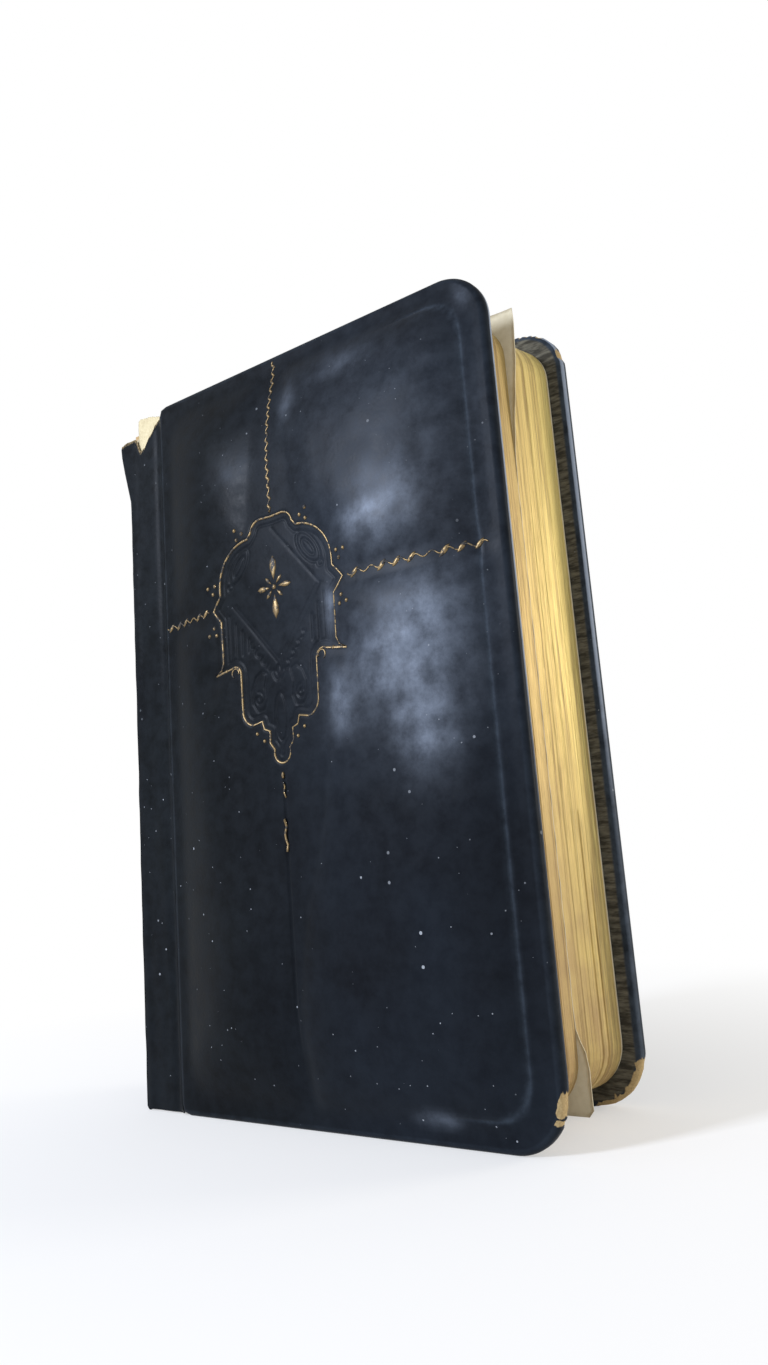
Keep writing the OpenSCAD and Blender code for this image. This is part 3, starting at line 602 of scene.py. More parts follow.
# %% [markdown]
# ### The skin of a cover
#
# One closed skin goes over the outer face, round the rim and 9 mm in on the inner side, where the
# leather is turned in. The face is a net whose square corners are bent to the cover's round ones,
# and the rim is a row of rings that follow the net's edge. The net is fine over the panel, where
# the small strokes are, and coarser elsewhere.

# %% Net of a cover's face
# Corner radii at the joint and the fore-edge, the face net's distance from the outline, and how
# far the leather is turned in
joint_r, fore_r, face_margin, turn_in = 2.0, 11.0, 1.5, 9.0


def graded(start, end, fine_start, fine_end, fine_step, coarse_step):
    """Net lines from start to end, closer between two places."""
    parts = []
    for a, b, step in ((start, fine_start, coarse_step), (fine_start, fine_end, fine_step),
                       (fine_end, end, coarse_step)):
        parts.append(np.linspace(a, b, max(int(round((b - a) / step)), 1) + 1)[:-1])
    return np.concatenate(parts + [[end]])


def rounded(x, z):
    """Net places, with the cover's square corners bent to round ones."""
    x0, x1 = x_joint + face_margin, x_fore - face_margin
    z0, z1 = face_margin, cover_h - face_margin
    x, z = x.copy(), z.copy()
    for cx, r, out in ((x1, fore_r - face_margin, 1), (x0, joint_r - face_margin, -1)):
        for cz, up in ((z1, 1), (z0, -1)):
            u = (x - (cx - out * r)) / r * out
            v = (z - (cz - up * r)) / r * up
            corner = (u > 0) & (v > 0)
            uu = u * np.sqrt(1 - v * v / 2)
            vv = v * np.sqrt(1 - u * u / 2)
            x = np.where(corner, cx - out * r + out * uu * r, x)
            z = np.where(corner, cz - up * r + up * vv * r, z)
    return x, z


def outward_of(x, z):
    """Direction from the cover's middle out through each place of its edge."""
    dx, dz = np.zeros(x.shape), np.zeros(x.shape)
    x1, x0 = x_fore - fore_r, x_joint + joint_r
    for k in range(len(x)):
        r, cx, side = (fore_r, x1, 1) if x[k] > panel_x else (joint_r, x0, -1)
        low = z[k] < cover_h / 2
        cz = r if low else cover_h - r
        u = (x[k] - cx) * side
        v = (cz - z[k]) if low else (z[k] - cz)
        if u > 1e-6 and v > 1e-6:
            length = math.hypot(u, v)
            dx[k], dz[k] = side * u / length, (-1 if low else 1) * v / length
        elif u > v:
            dx[k] = side
        else:
            dz[k] = -1 if low else 1
    return dx, dz


# %% Rim, wear and painted highlight of a cover
# The rim from the face round to the inner side: distance from the outline, and depth
rim_section = [(1.1, 0.03), (0.75, 0.1), (0.45, 0.24), (0.2, 0.46), (0.05, 0.75), (0, 1.05),
               (0, 1.5), (0, 1.95), (0.05, 2.25), (0.2, 2.54), (0.45, 2.76), (0.75, 2.9),
               (1.1, 2.97), (1.6, 3.0), (3.5, 3.0), (6.0, 3.0), (8.6, 3.0), (turn_in, 2.9),
               (turn_in, 2.4)]


def wear_at(x, z, depth_share, spots):
    """How far the leather is worn through, from a list of spots: x, z, size and strength."""
    worn = np.zeros(x.shape)
    for sx, sz, size, strength in spots:
        away = np.hypot(x - sx, z - sz) / size
        ragged = 0.25 * waves(x, z + 7 * depth_share, 1.6, 31)
        worn = np.maximum(worn, strength * smoothstep(1.25 - away + ragged))
    return worn


def sheen_and_smear_at(x, z, sheen_and_smear_spots):
    """Share of the painted highlight and smears, from a list of spots: x, z, half sizes, strength.
    """
    sheen_and_smear_share = np.zeros(x.shape)
    for cx, cz, half_x, half_z, strength in sheen_and_smear_spots:
        away = ((x - cx) / half_x) ** 2 + ((z - cz) / half_z) ** 2
        sheen_and_smear_share = sheen_and_smear_share + strength * np.exp(-away)
    return np.minimum(sheen_and_smear_share * (1 + 0.3 * waves(x, z, 6, 33)), 1)


# %% Cover builder
def make_cover(name, side, height, x_lines, z_lines, spots, sheen_and_smear_spots):
    """The closed skin of a cover: side is -1 for the front and 1 for the back."""
    face_y = y_front if side < 0 else y_back
    gx, gz = rounded(*np.meshgrid(x_lines, z_lines, indexing="ij"))
    top = height(gx, gz)
    rows, columns = gx.shape
    points = [np.stack([gx, face_y + side * top, gz], -1).reshape(-1, 3)]
    worn = [wear_at(gx, gz, 0, spots).ravel()]
    fore_line = np.minimum(x_fore - gx, edge_distance(gx, gz)) - border_line_in
    fore_line = np.exp(-(fore_line / 0.4) ** 2) * smoothstep((gx - x_fore + 24) / 12)
    # Painted highlight: a greyer blue along the front's border line near the fore-edge.
    rubbed = [(0.04 + (0.22 if side < 0 else 0) * fore_line).ravel()]
    sheen_and_smear, inner = [sheen_and_smear_at(gx, gz, sheen_and_smear_spots).ravel()], [np.zeros(rows * columns)]
    loop = edge_loop(rows, columns)
    ex, ez = points[0][loop, 0], points[0][loop, 2]
    ox, oz = outward_of(ex, ez)
    base = top.ravel()[loop]
    faces = net_faces(rows, columns)
    count, start = len(loop), rows * columns
    for margin, depth in rim_section:
        step = face_margin - margin
        rx = np.clip(ex + ox * step, x_joint + margin, x_fore - margin)
        rz = np.clip(ez + oz * step, margin, cover_h - margin)
        share = depth / cover_t
        spot = wear_at(rx, rz, share, spots)
        swell = 0.10 * waves(rx + 9 * depth, rz, 7, 41)
        if margin >= turn_in or depth < 2.4:
            swell = swell * (1 - abs(2 * share - 1)) * 0.5
        inward = 0.35 * spot * (1 if margin < 1.0 else 0)
        rx, rz = rx - ox * inward, rz - oz * inward
        fade = max(1 - depth / 0.6, 0)
        y = face_y + side * (base * fade - depth) + side * np.minimum(swell, 0) * (margin > 1.0)
        points.append(np.stack([rx, y, rz], -1))
        worn.append(spot)
        # Painted highlight: a pale line round the rim towards the fore-edge, stronger higher up.
        line = smoothstep((rx - x_fore + 12) / 8) * (0.1 + 0.9 * smoothstep((rz - 50) / 60))
        # Both rims are painted a greyer blue, the back one strongly, as a painted highlight.
        rubbed.append(np.full(count, 0.1 if side < 0 else 0.35))
        sheen_and_smear.append(1.9 * line * (margin < 0.3 and 1.9 < depth < 2.6))
        inner.append(np.full(count, float(margin > 1.3 and depth > 1)))
    points.append([[(x_joint + x_fore) / 2, face_y - side * 2.4, cover_h / 2]])
    for values in (worn, rubbed, sheen_and_smear, inner):
        values.append([0])
    ring = loop
    for k in range(len(rim_section)):
        after = start + k * count + np.arange(count)
        quads = np.stack([ring, np.roll(ring, -1), np.roll(after, -1), after], -1)
        faces += quads.tolist()
        ring = after
    centre = start + len(rim_section) * count
    faces += [[int(a), int(b), centre] for a, b in zip(ring, np.roll(ring, -1))]
    return make_piece(name, np.concatenate(points), faces, navy_leather,
                      {"worn": np.concatenate(worn), "rubbed": np.concatenate(rubbed),
                       "sheen_and_smear": np.concatenate(sheen_and_smear), "inner": np.concatenate(inner)})


# %% Front cover
def front_height(x, z):
    """Height of the tooled front leather over its border."""
    height, panel_gap = padded_height(x, z)
    return height - tooling_depth(x, z, panel_gap)


panel_half, panel_foot, panel_head, fine_net, coarse_net = 21.5, 39.5, 20, 0.26, 1.1
front_x = graded(x_joint + face_margin, x_fore - face_margin, panel_x - panel_half,
                 panel_x + panel_half, fine_net, coarse_net)
front_z = graded(face_margin, cover_h - face_margin, cross_h - panel_foot, cross_h + panel_head,
                 fine_net, coarse_net)
# Extra net lines under the line along the border
rule = np.arange(-0.5, 0.6, 0.25) + border_line_in
front_x = np.sort(np.concatenate([front_x, x_fore - rule]))
front_z = np.sort(np.concatenate([front_z, rule, cover_h - rule]))
# Worn through at the tail corner, and painted highlights on the cushions, with a few paler smears
front_spots = [(x_fore - 0.3, 10.6, 0.9, 1.0), (x_fore - 0.5, 9.2, 1.2, 1.0),
               (x_fore - 0.9, 7.7, 1.1, 1.0), (x_fore - 1.6, 6.2, 0.8, 1.0)]
front_sheen_and_smear_spots = [(35, 124.5, 7, 7, 0.38), (29, 122, 5, 4, 0.26), (42, 101, 8, 6, 0.30),
                (37, 92, 10, 9, 0.46), (41, 78, 6, 8, 0.40), (21, 85, 4, 6, 0.35),
                (18.5, 106, 1.5, 4, 0.35), (34.4, 5.2, 4, 1.3, 0.30), (9, 155, 2.5, 4, 0.16),
                (24, 159.5, 8, 3, 0.12), (-8, 143.5, 5, 4, 0.08), (56, 165, 2, 3, 0.20),
                (40, 138, 28, 22, 0.08), (38, 96, 22, 22, 0.08)]
front_cover = make_cover("front_cover_leather", -1, front_height, front_x, front_z, front_spots,
                         front_sheen_and_smear_spots)
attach(front_cover, "front_cover")
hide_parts("front_leather", "front_padding")


# %% Back cover
def back_height(x, z):
    """The plain back cover is only slightly uneven."""
    return 0.06 * waves(x, z, 16, 51) * smoothstep((edge_distance(x, z) - 2) / 8) - 0.04


back_x = graded(x_joint + face_margin, x_fore - face_margin, x_fore - 12, x_fore - 4, 0.8, 1.6)
back_z = graded(face_margin, cover_h - face_margin, 6, 12, 0.8, 1.6)
# Both fore corners are worn through along their arc, more so at the tail
wear_r = fore_r + 0.1
back_spots = [(x_fore - fore_r + wear_r * math.cos(turn), cz + up * wear_r * math.sin(turn),
               size, 1.0)
              for cz, up, size in ((cover_h - fore_r, 1, 0.8), (fore_r, -1, 1.9))
              for turn in np.linspace(0.25, 1.45, 9)]
back_cover = make_cover("back_cover_leather", 1, back_height, back_x, back_z, back_spots, [])
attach(back_cover, "back_cover")
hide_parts("back_leather")

# %% [markdown]
# ## Gold lines, dots and ropes
#
# Each gold shape is a thin raised skin laid over the leather: a swept ribbon for the outline,
# small domes for the dots, and slanted strands with pointed ends for the ropes, which sit on a
# thin wavy ribbon. The strands lie wider apart on the two side ropes, where some are rubbed away.
# All of them take their height from the same sum as the leather, so they lie on it however it
# swells.

# %% Gold helpers
gold_points, gold_faces = [], []


def leather_y(x, z, lift):
    """Place across the book of a point a lift above the front leather."""
    height, gap = padded_height(np.asarray(x, float), np.asarray(z, float))
    return y_front - (height - sunk(gap)) - lift


def keep_gold(dx, dz, lift, faces):
    """Adds a patch of gold, by its places from the crossing and its height over the leather."""
    x, z = panel_x + np.asarray(dx), cross_h + np.asarray(dz)
    start = sum(len(p) for p in gold_points)
    gold_points.append(np.stack([x, leather_y(x, z, np.asarray(lift)), z], -1))
    gold_faces.extend([[start + k for k in f] for f in faces])


def gold_ribbon(line, width, lift, closed=False):
    """A ribbon with a round back, along a line of points."""
    line = np.asarray(line, float)
    ahead = np.roll(line, -1, 0) if closed else np.vstack([line[1:], line[-1:]])
    behind = np.roll(line, 1, 0) if closed else np.vstack([line[:1], line[:-1]])
    run = ahead - behind
    run /= np.maximum(np.linalg.norm(run, axis=1), 1e-6)[:, None]
    normal = np.stack([run[:, 1], -run[:, 0]], -1)
    across = [(-0.5, -0.12), (-0.34, 0.6), (0, 1.0), (0.34, 0.6), (0.5, -0.12)]
    n, m = len(line), len(across)
    places = np.stack([line + normal * width * a for a, _ in across], 1)
    heights = np.tile([lift * h for _, h in across], (n, 1))
    faces = []
    for i in range(n if closed else n - 1):
        for k in range(m):
            a, b = i * m + k, i * m + (k + 1) % m
            c, d = ((i + 1) % n) * m + (k + 1) % m, ((i + 1) % n) * m + k
            faces.append([a, b, c, d])
    if not closed:
        faces += [list(range(m)), list(range((n - 1) * m, n * m))[::-1]]
    keep_gold(places[..., 0].ravel(), places[..., 1].ravel(), heights.ravel(), faces)


def gold_dome(cx, cz, outline, lift, rings=3):
    """A low dome over a closed outline of places about its centre."""
    outline = np.asarray(outline, float)
    n = len(outline)
    dx, dz, up = [cx], [cz], [lift]
    for k in range(1, rings + 1):
        share = k / rings
        dx += list(cx + outline[:, 0] * share)
        dz += list(cz + outline[:, 1] * share)
        up += [lift * (1 - share ** 2) - (0.08 if k == rings else 0)] * n
    faces = [[0, 1 + (i + 1) % n, 1 + i] for i in range(n)]
    for k in range(rings - 1):
        for i in range(n):
            a, b = 1 + k * n + i, 1 + k * n + (i + 1) % n
            faces.append([a, b, b + n, a + n])
    faces.append([1 + (rings - 1) * n + i for i in range(n)])
    keep_gold(dx, dz, up, faces)


def circle_of(r, steps=10):
    """Round outline."""
    return [(r * math.cos(2 * math.pi * i / steps), r * math.sin(2 * math.pi * i / steps))
            for i in range(steps)]


def turned(outline, angle, scale=1.0):
    """An outline turned by an angle in degrees."""
    c, s = math.cos(math.radians(angle)), math.sin(math.radians(angle))
    return [(scale * (x * c - z * s), scale * (x * s + z * c)) for x, z in outline]


# %% Rope strands
strand_slant = 38
strand_shape = [(-1.5, -0.15), (-0.95, -0.48), (-0.2, -0.56), (0.6, -0.45), (1.2, -0.05),
                (1.5, 0.15), (0.95, 0.48), (0.2, 0.56), (-0.6, 0.45), (-1.2, 0.05)]
draw = np.random.default_rng(5)


def rope(start, end, strand_pitch, kept=1.0):
    """Slanted strands a pitch apart from one place to another, some of them rubbed away."""
    start, end = np.array(start, float), np.array(end, float)
    run = end - start
    count = int(np.linalg.norm(run) // strand_pitch)
    heading = math.degrees(math.atan2(run[1], run[0]))
    length = np.linalg.norm(run)
    side_step = np.array([-run[1], run[0]]) / length
    t = np.linspace(0, 1, count * 12 + 1)
    sway = -0.135 * strand_pitch * np.sin(2 * math.pi * count * t)
    gold_ribbon(start + run * t[:, None] + side_step * sway[:, None], 0.36, 0.16)
    for i in range(count):
        at = start + run * (i + 0.5) / count + draw.normal(0, 0.05, 2)
        size = draw.uniform(0.9, 1.1) * strand_pitch / 3.0
        if draw.uniform() > kept:
            continue
        gold_dome(at[0], at[1], turned(strand_shape, heading + strand_slant, size), 0.28)


rope((0, top_cusp + 1.2), (0, cover_h - cross_h - 1.6), 2.1)
rope((side_cusp + 1.5, 0), (x_fore - border_w - panel_x, 0), 3.4, 0.8)
rope((-side_cusp - 1.5, 0), (x_joint + 1.2 - panel_x, 0), 3.0, 0.9)
gold_dome(-0.3, -pendant - 2.6, [(0.45 * x, 0.85 * z) for x, z in circle_of(1.0)], 0.3)
gold_ribbon([(-0.4, -41.0), (0.1, -42.0), (-0.2, -43.2), (0.3, -44.4)], 0.4, 0.2)
gold_ribbon([(-0.5, -48.8), (0.1, -50.4), (-0.4, -51.8), (-0.2, -53.0), (0.3, -54.2),
             (0.0, -55.6)], 0.65, 0.26)

# %% Outline, dots and flower
gold_ribbon(panel_outline, 0.52, 0.20, True)
for side in (-1, 1):
    for cx, cz, heading in ((10.2, 16.2, 55), (19.7, 5.2, 20), (19.7, -5.2, -20)):
        for turn in (0, 130, -130):
            angle = math.radians(heading + turn)
            gold_dome(side * (cx + 1.26 * math.cos(angle)), cz + 1.26 * math.sin(angle),
                      circle_of(0.55), 0.3)
    for cx, cz, r in ((0.0, 19.2, 0.45), (15.9, -14.6, 0.5), (6.9, 7 - pendant, 0.5),
                      (4.9, 5.2 - pendant, 0.5)):
        gold_dome(side * cx, cz, circle_of(r), 0.32)
    gold_ribbon([(side * x, z) for x, z in arc(12.8, -15.6, 1.05, 200, -60, 10)], 0.4, 0.2)
petal = [(0.1, 0), (1.2, 0.42), (2.4, 0.78), (3.5, 0.72), (4.6, 0.0), (3.5, -0.72), (2.4, -0.78),
         (1.2, -0.42)]
flower_z = 1.8
for angle in range(0, 360, 45):
    size = 1.4 if angle % 180 == 90 else 0.95 if angle % 90 == 0 else 0.62
    out = 2.9 * size + 0.4
    outline = turned([(x - 2.4, z) for x, z in petal], angle, size)
    gold_dome(out * math.cos(math.radians(angle)),
              flower_z + out * math.sin(math.radians(angle)), outline, 0.3)
gold_dome(0, flower_z, circle_of(0.7, 12), 0.35)
gilt = make_piece("gold_tooling", np.concatenate(gold_points), gold_faces, tooled_gold)
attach(gilt, "front_cover")
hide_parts("front_gilt")

# %% [markdown]
# ## The spine
#
# The spine's leather is one sheet over a card inlay, folded in at both ends into caps. The head
# cap has been pulled out by fingers taking the book off a shelf: it flares away from the pages,
# and the leather has torn from the front joint. Each station round the spine is a closed strip:
# up the outer side, over the fold, and down the inner side.

# %% Spine leather
spine_half = (y_back - y_front) / 2 - joint_sink
spine_bulge = 7.0
spine_r = (spine_half ** 2 + spine_bulge ** 2) / (2 * spine_bulge)
spine_cx = x_shoulder - spine_bulge + spine_r
spine_angle = math.asin(spine_half / spine_r)
cap_drop, cap_h, cap_fold, cap_flare = 4.2, 9.0, 1.3, 3.6
cap_top = cover_h - cap_drop


def spine_flare(z):
    """How far the pulled out head cap stands back, by height."""
    return cap_flare * np.interp(z, [cap_top - 18, cap_top - 15, cap_top - 9, cap_top - 4.5,
                                     cap_top], [0, 0.2, 0.62, 0.88, 1.0])


stations = 64
heights = np.concatenate([[0, 0.15, 0.4, 0.7, 1.2], np.linspace(3, cap_top - 22, 46),
                          np.linspace(cap_top - 20, cap_top - 1.3, 20),
                          [cap_top - 0.7, cap_top - 0.35, cap_top - 0.12, cap_top]])
insets = np.array([0.55, 0.25, 0.08, 0.0] + [0.0] * (len(heights) - 8) + [0.0, 0.08, 0.25, 0.55])
thick = np.where((heights < cap_h) | (heights > cap_top - cap_h), cap_fold, leather_t)
loops, worn, rubbed = [], [], []
for i in range(stations + 1):
    share = i / stations
    phi = spine_angle * (1 - 2 * share)
    out = np.array([-math.cos(phi), -math.sin(phi)])
    along = share * 2 * spine_angle * spine_r
    tear = 1.5 * max(1 - along / 3.0, 0) ** 1.3 + 0.4 * math.sin(along * 1.7) * math.exp(-along / 9)
    z = heights.copy()
    high = z > cap_top - 12
    z[high] -= tear * (z[high] - (cap_top - 12)) / 12
    sag = 1.0 * math.exp(-((along - 11) / 7) ** 2)
    z[high] -= sag * smoothstep((z[high] - (cap_top - 10)) / 10)
    uneven = 0.12 * waves(along, z, 14, 61) + 0.05 * waves(along, z, 5, 62)
    flare = spine_flare(heights)
    for inward in (0, 1):
        depth = insets + inward * (thick - 2 * insets) - uneven * (1 - inward)
        depth = np.maximum(depth, 0.0) if not inward else depth
        x = spine_cx + out[0] * (spine_r - depth) - flare
        y = y_mid + out[1] * (spine_r - depth)
        column = np.stack([x, y, z], -1)
        ragged = 0.5 * smoothstep((2.6 - along) / 2.6) * smoothstep((heights - cap_top + 1.0) / 1.0)
        rub = smoothstep((heights - cap_top + 1.5) / 1.5) * 0.6 + 0.05
        loops.append(column if not inward else column[::-1])
        worn.append(ragged if not inward else ragged[::-1])
        rubbed.append(rub if not inward else rub[::-1])
rows = 2 * len(heights)
spine_points = np.concatenate(loops)
spine_faces = net_faces(stations + 1, rows, wrap=True)
half = len(heights)
for start in (0, stations * rows):
    for k in range(half - 1):
        spine_faces.append([start + k, start + k + 1, start + rows - 2 - k, start + rows - 1 - k])
        if start:
            spine_faces[-1].reverse()
spine = make_piece("spine_leather_skin", spine_points, spine_faces, navy_leather,
                   {"worn": np.concatenate(worn), "rubbed": np.concatenate(rubbed)})
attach(spine, "book_block")
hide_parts("spine_leather")

# %% [markdown]
# ## The leather joints
#
# Between each cover and the spine runs a strip of bare leather that bends as the cover opens. It
# follows the cover on one side of its hinge line and the spine on the other. At the head of the
# front joint it is torn down in a slant, and beside the pulled out cap it goes back with the spine,
# so that no gap opens between them.

# %% Joint strips
def joint_strip(name, side, top_at):
    """A strip of leather from the shoulder to under the cover's rim."""
    face = (y_front + joint_sink) if side < 0 else (y_back - joint_sink)
    x = np.concatenate([np.linspace(x_shoulder - 0.15, x_hinge - 3, 8),
                        np.linspace(x_hinge - 2.5, x_hinge + 2.5, 9),
                        np.linspace(x_hinge + 3, x_joint + 0.45, 9)])
    share = np.concatenate([[0, 0.004, 0.012], np.linspace(0.03, 0.9, 60),
                            np.linspace(0.91, 1.0, 14)])
    points, worn = [], []
    for inward in (0, 1):
        gx, gs = np.meshgrid(x, share, indexing="ij")
        gz = 0.3 + gs * (top_at(gx) - 0.3)
        pulled = smoothstep((x_hinge - 3 - gx) / (x_hinge - 3 - x_shoulder))
        climb = 0.55 * smoothstep((gx - (x_joint - 0.9)) / 1.3)
        hollow = 0.22 * np.exp(-((gx - (x_joint - 1.7)) / 1.1) ** 2)
        ridge = 0.1 * np.exp(-((gx - (x_shoulder + 1.3)) / 1.2) ** 2)
        rough = 0.07 * waves(gx * 2, gz, 11, 71 + side) * (1 - gs ** 12)
        lift = climb - hollow + ridge + rough - inward * leather_t
        edge = np.minimum(gs * 170, (1 - gs) * 170)
        pinch = 0.36 * (1 - smoothstep(edge / 0.8)) * (1 if inward else -1)
        points.append(np.stack([gx - pulled * spine_flare(gz), face + side * (lift + pinch), gz],
                               -1))
        worn.append(0.5 * smoothstep((gs - 0.985) / 0.012) * (side < 0) + 0 * gx)
    faces = sheet_faces(len(x), len(share))
    both = np.concatenate([p.reshape(-1, 3) for p in points])
    strip = make_piece(name, both, faces, navy_leather,
                       {"worn": np.concatenate([w.ravel() for w in worn]),
                        "rubbed": np.full(len(both), 0.05)})
    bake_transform(strip)


def torn_top(x):
    """Height of the front joint's torn edge, from the cover down to the spine."""
    slope = np.interp(x, [x_shoulder, x_hinge - 3.0, x_hinge - 1.6, x_hinge, x_joint - 1.2,
                          x_joint + 0.5], [165.0, 164.8, 160.6, 162.0, 168.2, 168.8])
    return slope + 0.25 * np.sin(x * 2.3) + 0.15 * np.sin(x * 5.1 + 1)


def whole_top(x):
    """Height of the back joint's top edge, which is whole."""
    return np.full(np.shape(x), cover_h - 2.4)


joint_strip("front_joint_leather", -1, torn_top)
joint_strip("back_joint_leather", 1, whole_top)

# %% [markdown]
# ## The page block
#
# The pages are one solid in the frame, because they don't move. To look like paper, the block is
# made of some two hundred page outlines, one behind the other. Each one is a little longer or
# shorter than the next, as rubbed leaves are, and groups of leaves leave narrow crevices. The
# block is parted where the loose leaf lies.

# %% Outline of a page
block_low, block_high = box_mm("text_block")
block_fore, block_z0, block_z1 = block_high[0], block_low[2], block_high[2]
block_half = (y_back - y_front) / 2 - cover_t - page_slack - flyleaf_t
back_x = block_low[0]
leaf_low, leaf_high = box_mm("loose_leaf")
leaf_mid = (leaf_low[1] + leaf_high[1]) / 2
shoulder_h, neck, page_r = 1.4, x_joint - 2.5, 9.5
# Radius of the lining's outer face: inside the cap's fold, the inlay and three thin gaps
lining_outer = spine_r - cap_fold - 0.05 * 2 - 0.45 - 0.05
leaf_step, leaf_gap, fore_points = 0.135, 0.12, 42
leaf_draw = np.random.default_rng(21)


def page_outline(y_page, rough):
    """Closed outline of the block at one page, with the spine side bent to the shoulders."""
    t = (y_page - y_mid) / block_half
    reach = math.sqrt(max(lining_outer ** 2 - ((y_page - y_mid) * 1.05) ** 2, 1))
    spine_x = max(spine_cx - reach, back_x) + 0.05
    hollow = 0.2 + 1.5 * (1 - t * t)
    corner = np.linspace(0, math.pi / 2, 9)
    fore = block_fore - hollow - rough[0]
    along = np.concatenate([np.linspace(spine_x, neck - 2.5, 4, endpoint=False),
                            np.linspace(neck - 2.5, neck, 5, endpoint=False),
                            np.linspace(neck, fore - page_r, 26, endpoint=False)])
    low, high = block_z0 + rough[1], block_z1 - rough[2]
    lower = np.stack([along, np.full(len(along), low)], -1)
    lower_arc = np.stack([fore - page_r + page_r * np.sin(corner),
                          low + page_r - page_r * np.cos(corner)], -1)
    climb = np.linspace(0, 1, fore_points + 2)[1:-1]
    upright = np.stack([np.full(fore_points, fore),
                        low + page_r + (high - low - 2 * page_r) * climb], -1)
    upper_arc = np.stack([lower_arc[::-1, 0], high + low - lower_arc[::-1, 1]], -1)
    upper = np.stack([along[::-1], np.full(len(along), high)], -1)
    return np.concatenate([lower, lower_arc, upright, upper_arc, upper])


# Narrow openings between groups of pages: place, width, depth and how high up they reach
crevices = [(y_mid + 8.6, 0.16, 1.4, 62), (y_mid + 10.6, 0.12, 1.0, 48),
            (y_mid + 3.1, 0.30, 0.25, 130), (y_mid - 6.2, 0.30, 0.25, 90),
            (y_mid + 6.2, 0.30, 0.20, 170)]


# %% Page block
def make_block():
    """All leaves as rings, in two stacks on either side of the loose leaf."""
    stacks = [(y_mid - block_half, leaf_mid - leaf_gap),
              (leaf_mid + leaf_gap, y_mid + block_half)]
    points, faces, start = [], [], 0
    for low, high in stacks:
        count = int((high - low) / leaf_step)
        drift = np.cumsum(leaf_draw.normal(0, 1, (count, 3)), 0)
        drift -= np.linspace(0, 1, count)[:, None] * drift[-1]
        drift = 0.05 * drift / max(np.abs(drift).max(), 1)
        rings = []
        for i, y in enumerate(np.linspace(low, high, count)):
            rough = 0.04 + np.abs(leaf_draw.normal(0, 0.035, 3)) + np.abs(drift[i])
            outline = page_outline(y, rough)
            x, z = outline[:, 0], outline[:, 1]
            bend = shoulder_h * smoothstep((neck - x) / 2.5) * (y - y_mid) / block_half
            for at, width, depth, top in crevices:
                close = math.exp(-((y - at) / width) ** 2)
                where = smoothstep((top - z) / 12) * smoothstep((x - block_fore + 9) / 3)
                x = x - depth * close * where
            ripple = 0.015 * np.sin(z * 0.9 + i * 2.4) + 0.015 * np.sin(z * 0.37 + i)
            x = x - np.abs(ripple) * (outline[:, 0] > block_fore - 10)
            rings.append(np.stack([x, y + bend, z], -1))
        n = len(rings[0])
        points += rings
        faces += net_faces(count, n, wrap=True, start=start)
        pairs = (n - fore_points) // 2
        for ring_start, turn in ((start, 1), (start + (count - 1) * n, -1)):
            for k in range(pairs - 1):
                quad = [k, k + 1, n - 2 - k, n - 1 - k]
                faces.append([ring_start + q for q in quad][::turn])
            faces.append([ring_start + q for q in range(pairs - 1, n - pairs + 1)][::turn])
        start += count * n
    return np.concatenate(points), faces


block_points, block_faces = make_block()
block = make_piece("page_block", block_points, block_faces, page_gilt, smooth=False)
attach(block, "book_block")
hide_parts("text_block")

# %% [markdown]
# ## The loose leaf
#
# One leaf has come out of the sewing and was pushed back in, so it stands a little above the
# pages. Its fore-edge is flush with them, and leans out only at the head and the tail. It is thin,
# so its free margins curl slightly and its edges are a little ragged, while the part between the
# pages stays flat.

# %% Loose leaf
def make_leaf():
    """A thin wavy sheet with uneven edges."""
    x0, x1 = leaf_low[0], block_fore - 1.65
    z0, z1 = leaf_low[2], leaf_high[2]
    u = np.concatenate([np.linspace(0, 0.9, 26), np.linspace(0.92, 1, 10)])
    v = np.concatenate([np.linspace(0, 0.05, 8), np.linspace(0.07, 0.94, 70),
                        np.linspace(0.95, 1, 10)])
    gu, gv = np.meshgrid(u, v, indexing="ij")
    lean = 3.0 * smoothstep((gv - 0.76) / 0.24) + 2.0 * smoothstep((0.10 - gv) / 0.04)
    right = x1 + lean - 0.1 * np.abs(np.sin(gv * 61))
    corner = 1.0
    below = np.clip(corner - gv * (z1 - z0), 0, corner)
    right = right - (corner - np.sqrt(np.maximum(corner ** 2 - below ** 2, 0)))
    x = x0 + gu * (right - x0)
    z = z0 + gv * (z1 - z0)
    z = z - 0.25 * np.abs(np.sin(x * 0.31)) * smoothstep((gv - 0.97) / 0.03)
    beside, beyond = x - (block_fore - 1.8), np.maximum(z - block_z1, block_z0 - z)
    past = np.hypot(np.maximum(beside + page_r, 0), np.maximum(beyond + page_r, 0)) - page_r
    out_by = np.where((beside > -page_r) & (beyond > -page_r), past, np.maximum(beside, beyond))
    free = smoothstep(out_by / 3)
    curl = free * (0.35 * np.sin(z * 0.13 + 0.6) + 0.25 * np.sin(x * 0.21))
    points = []
    for out in (-0.11, 0.11):
        points.append(np.stack([x, leaf_mid + curl + out, z], -1).reshape(-1, 3))
    faces = sheet_faces(*x.shape)
    return make_piece("loose_leaf_sheet", np.concatenate(points), faces, leaf_paper)


leaf = make_leaf()
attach(leaf, "book_block")
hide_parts("loose_leaf")

# %% [markdown]
# ## The hinge lining
#
# Where the leather has torn from the front joint, the cream lining behind it shows: paper and
# cloth glued over the shoulder. Its top edge is frayed.

# %% Hinge lining
lining_low, lining_high = box_mm("hinge_lining")


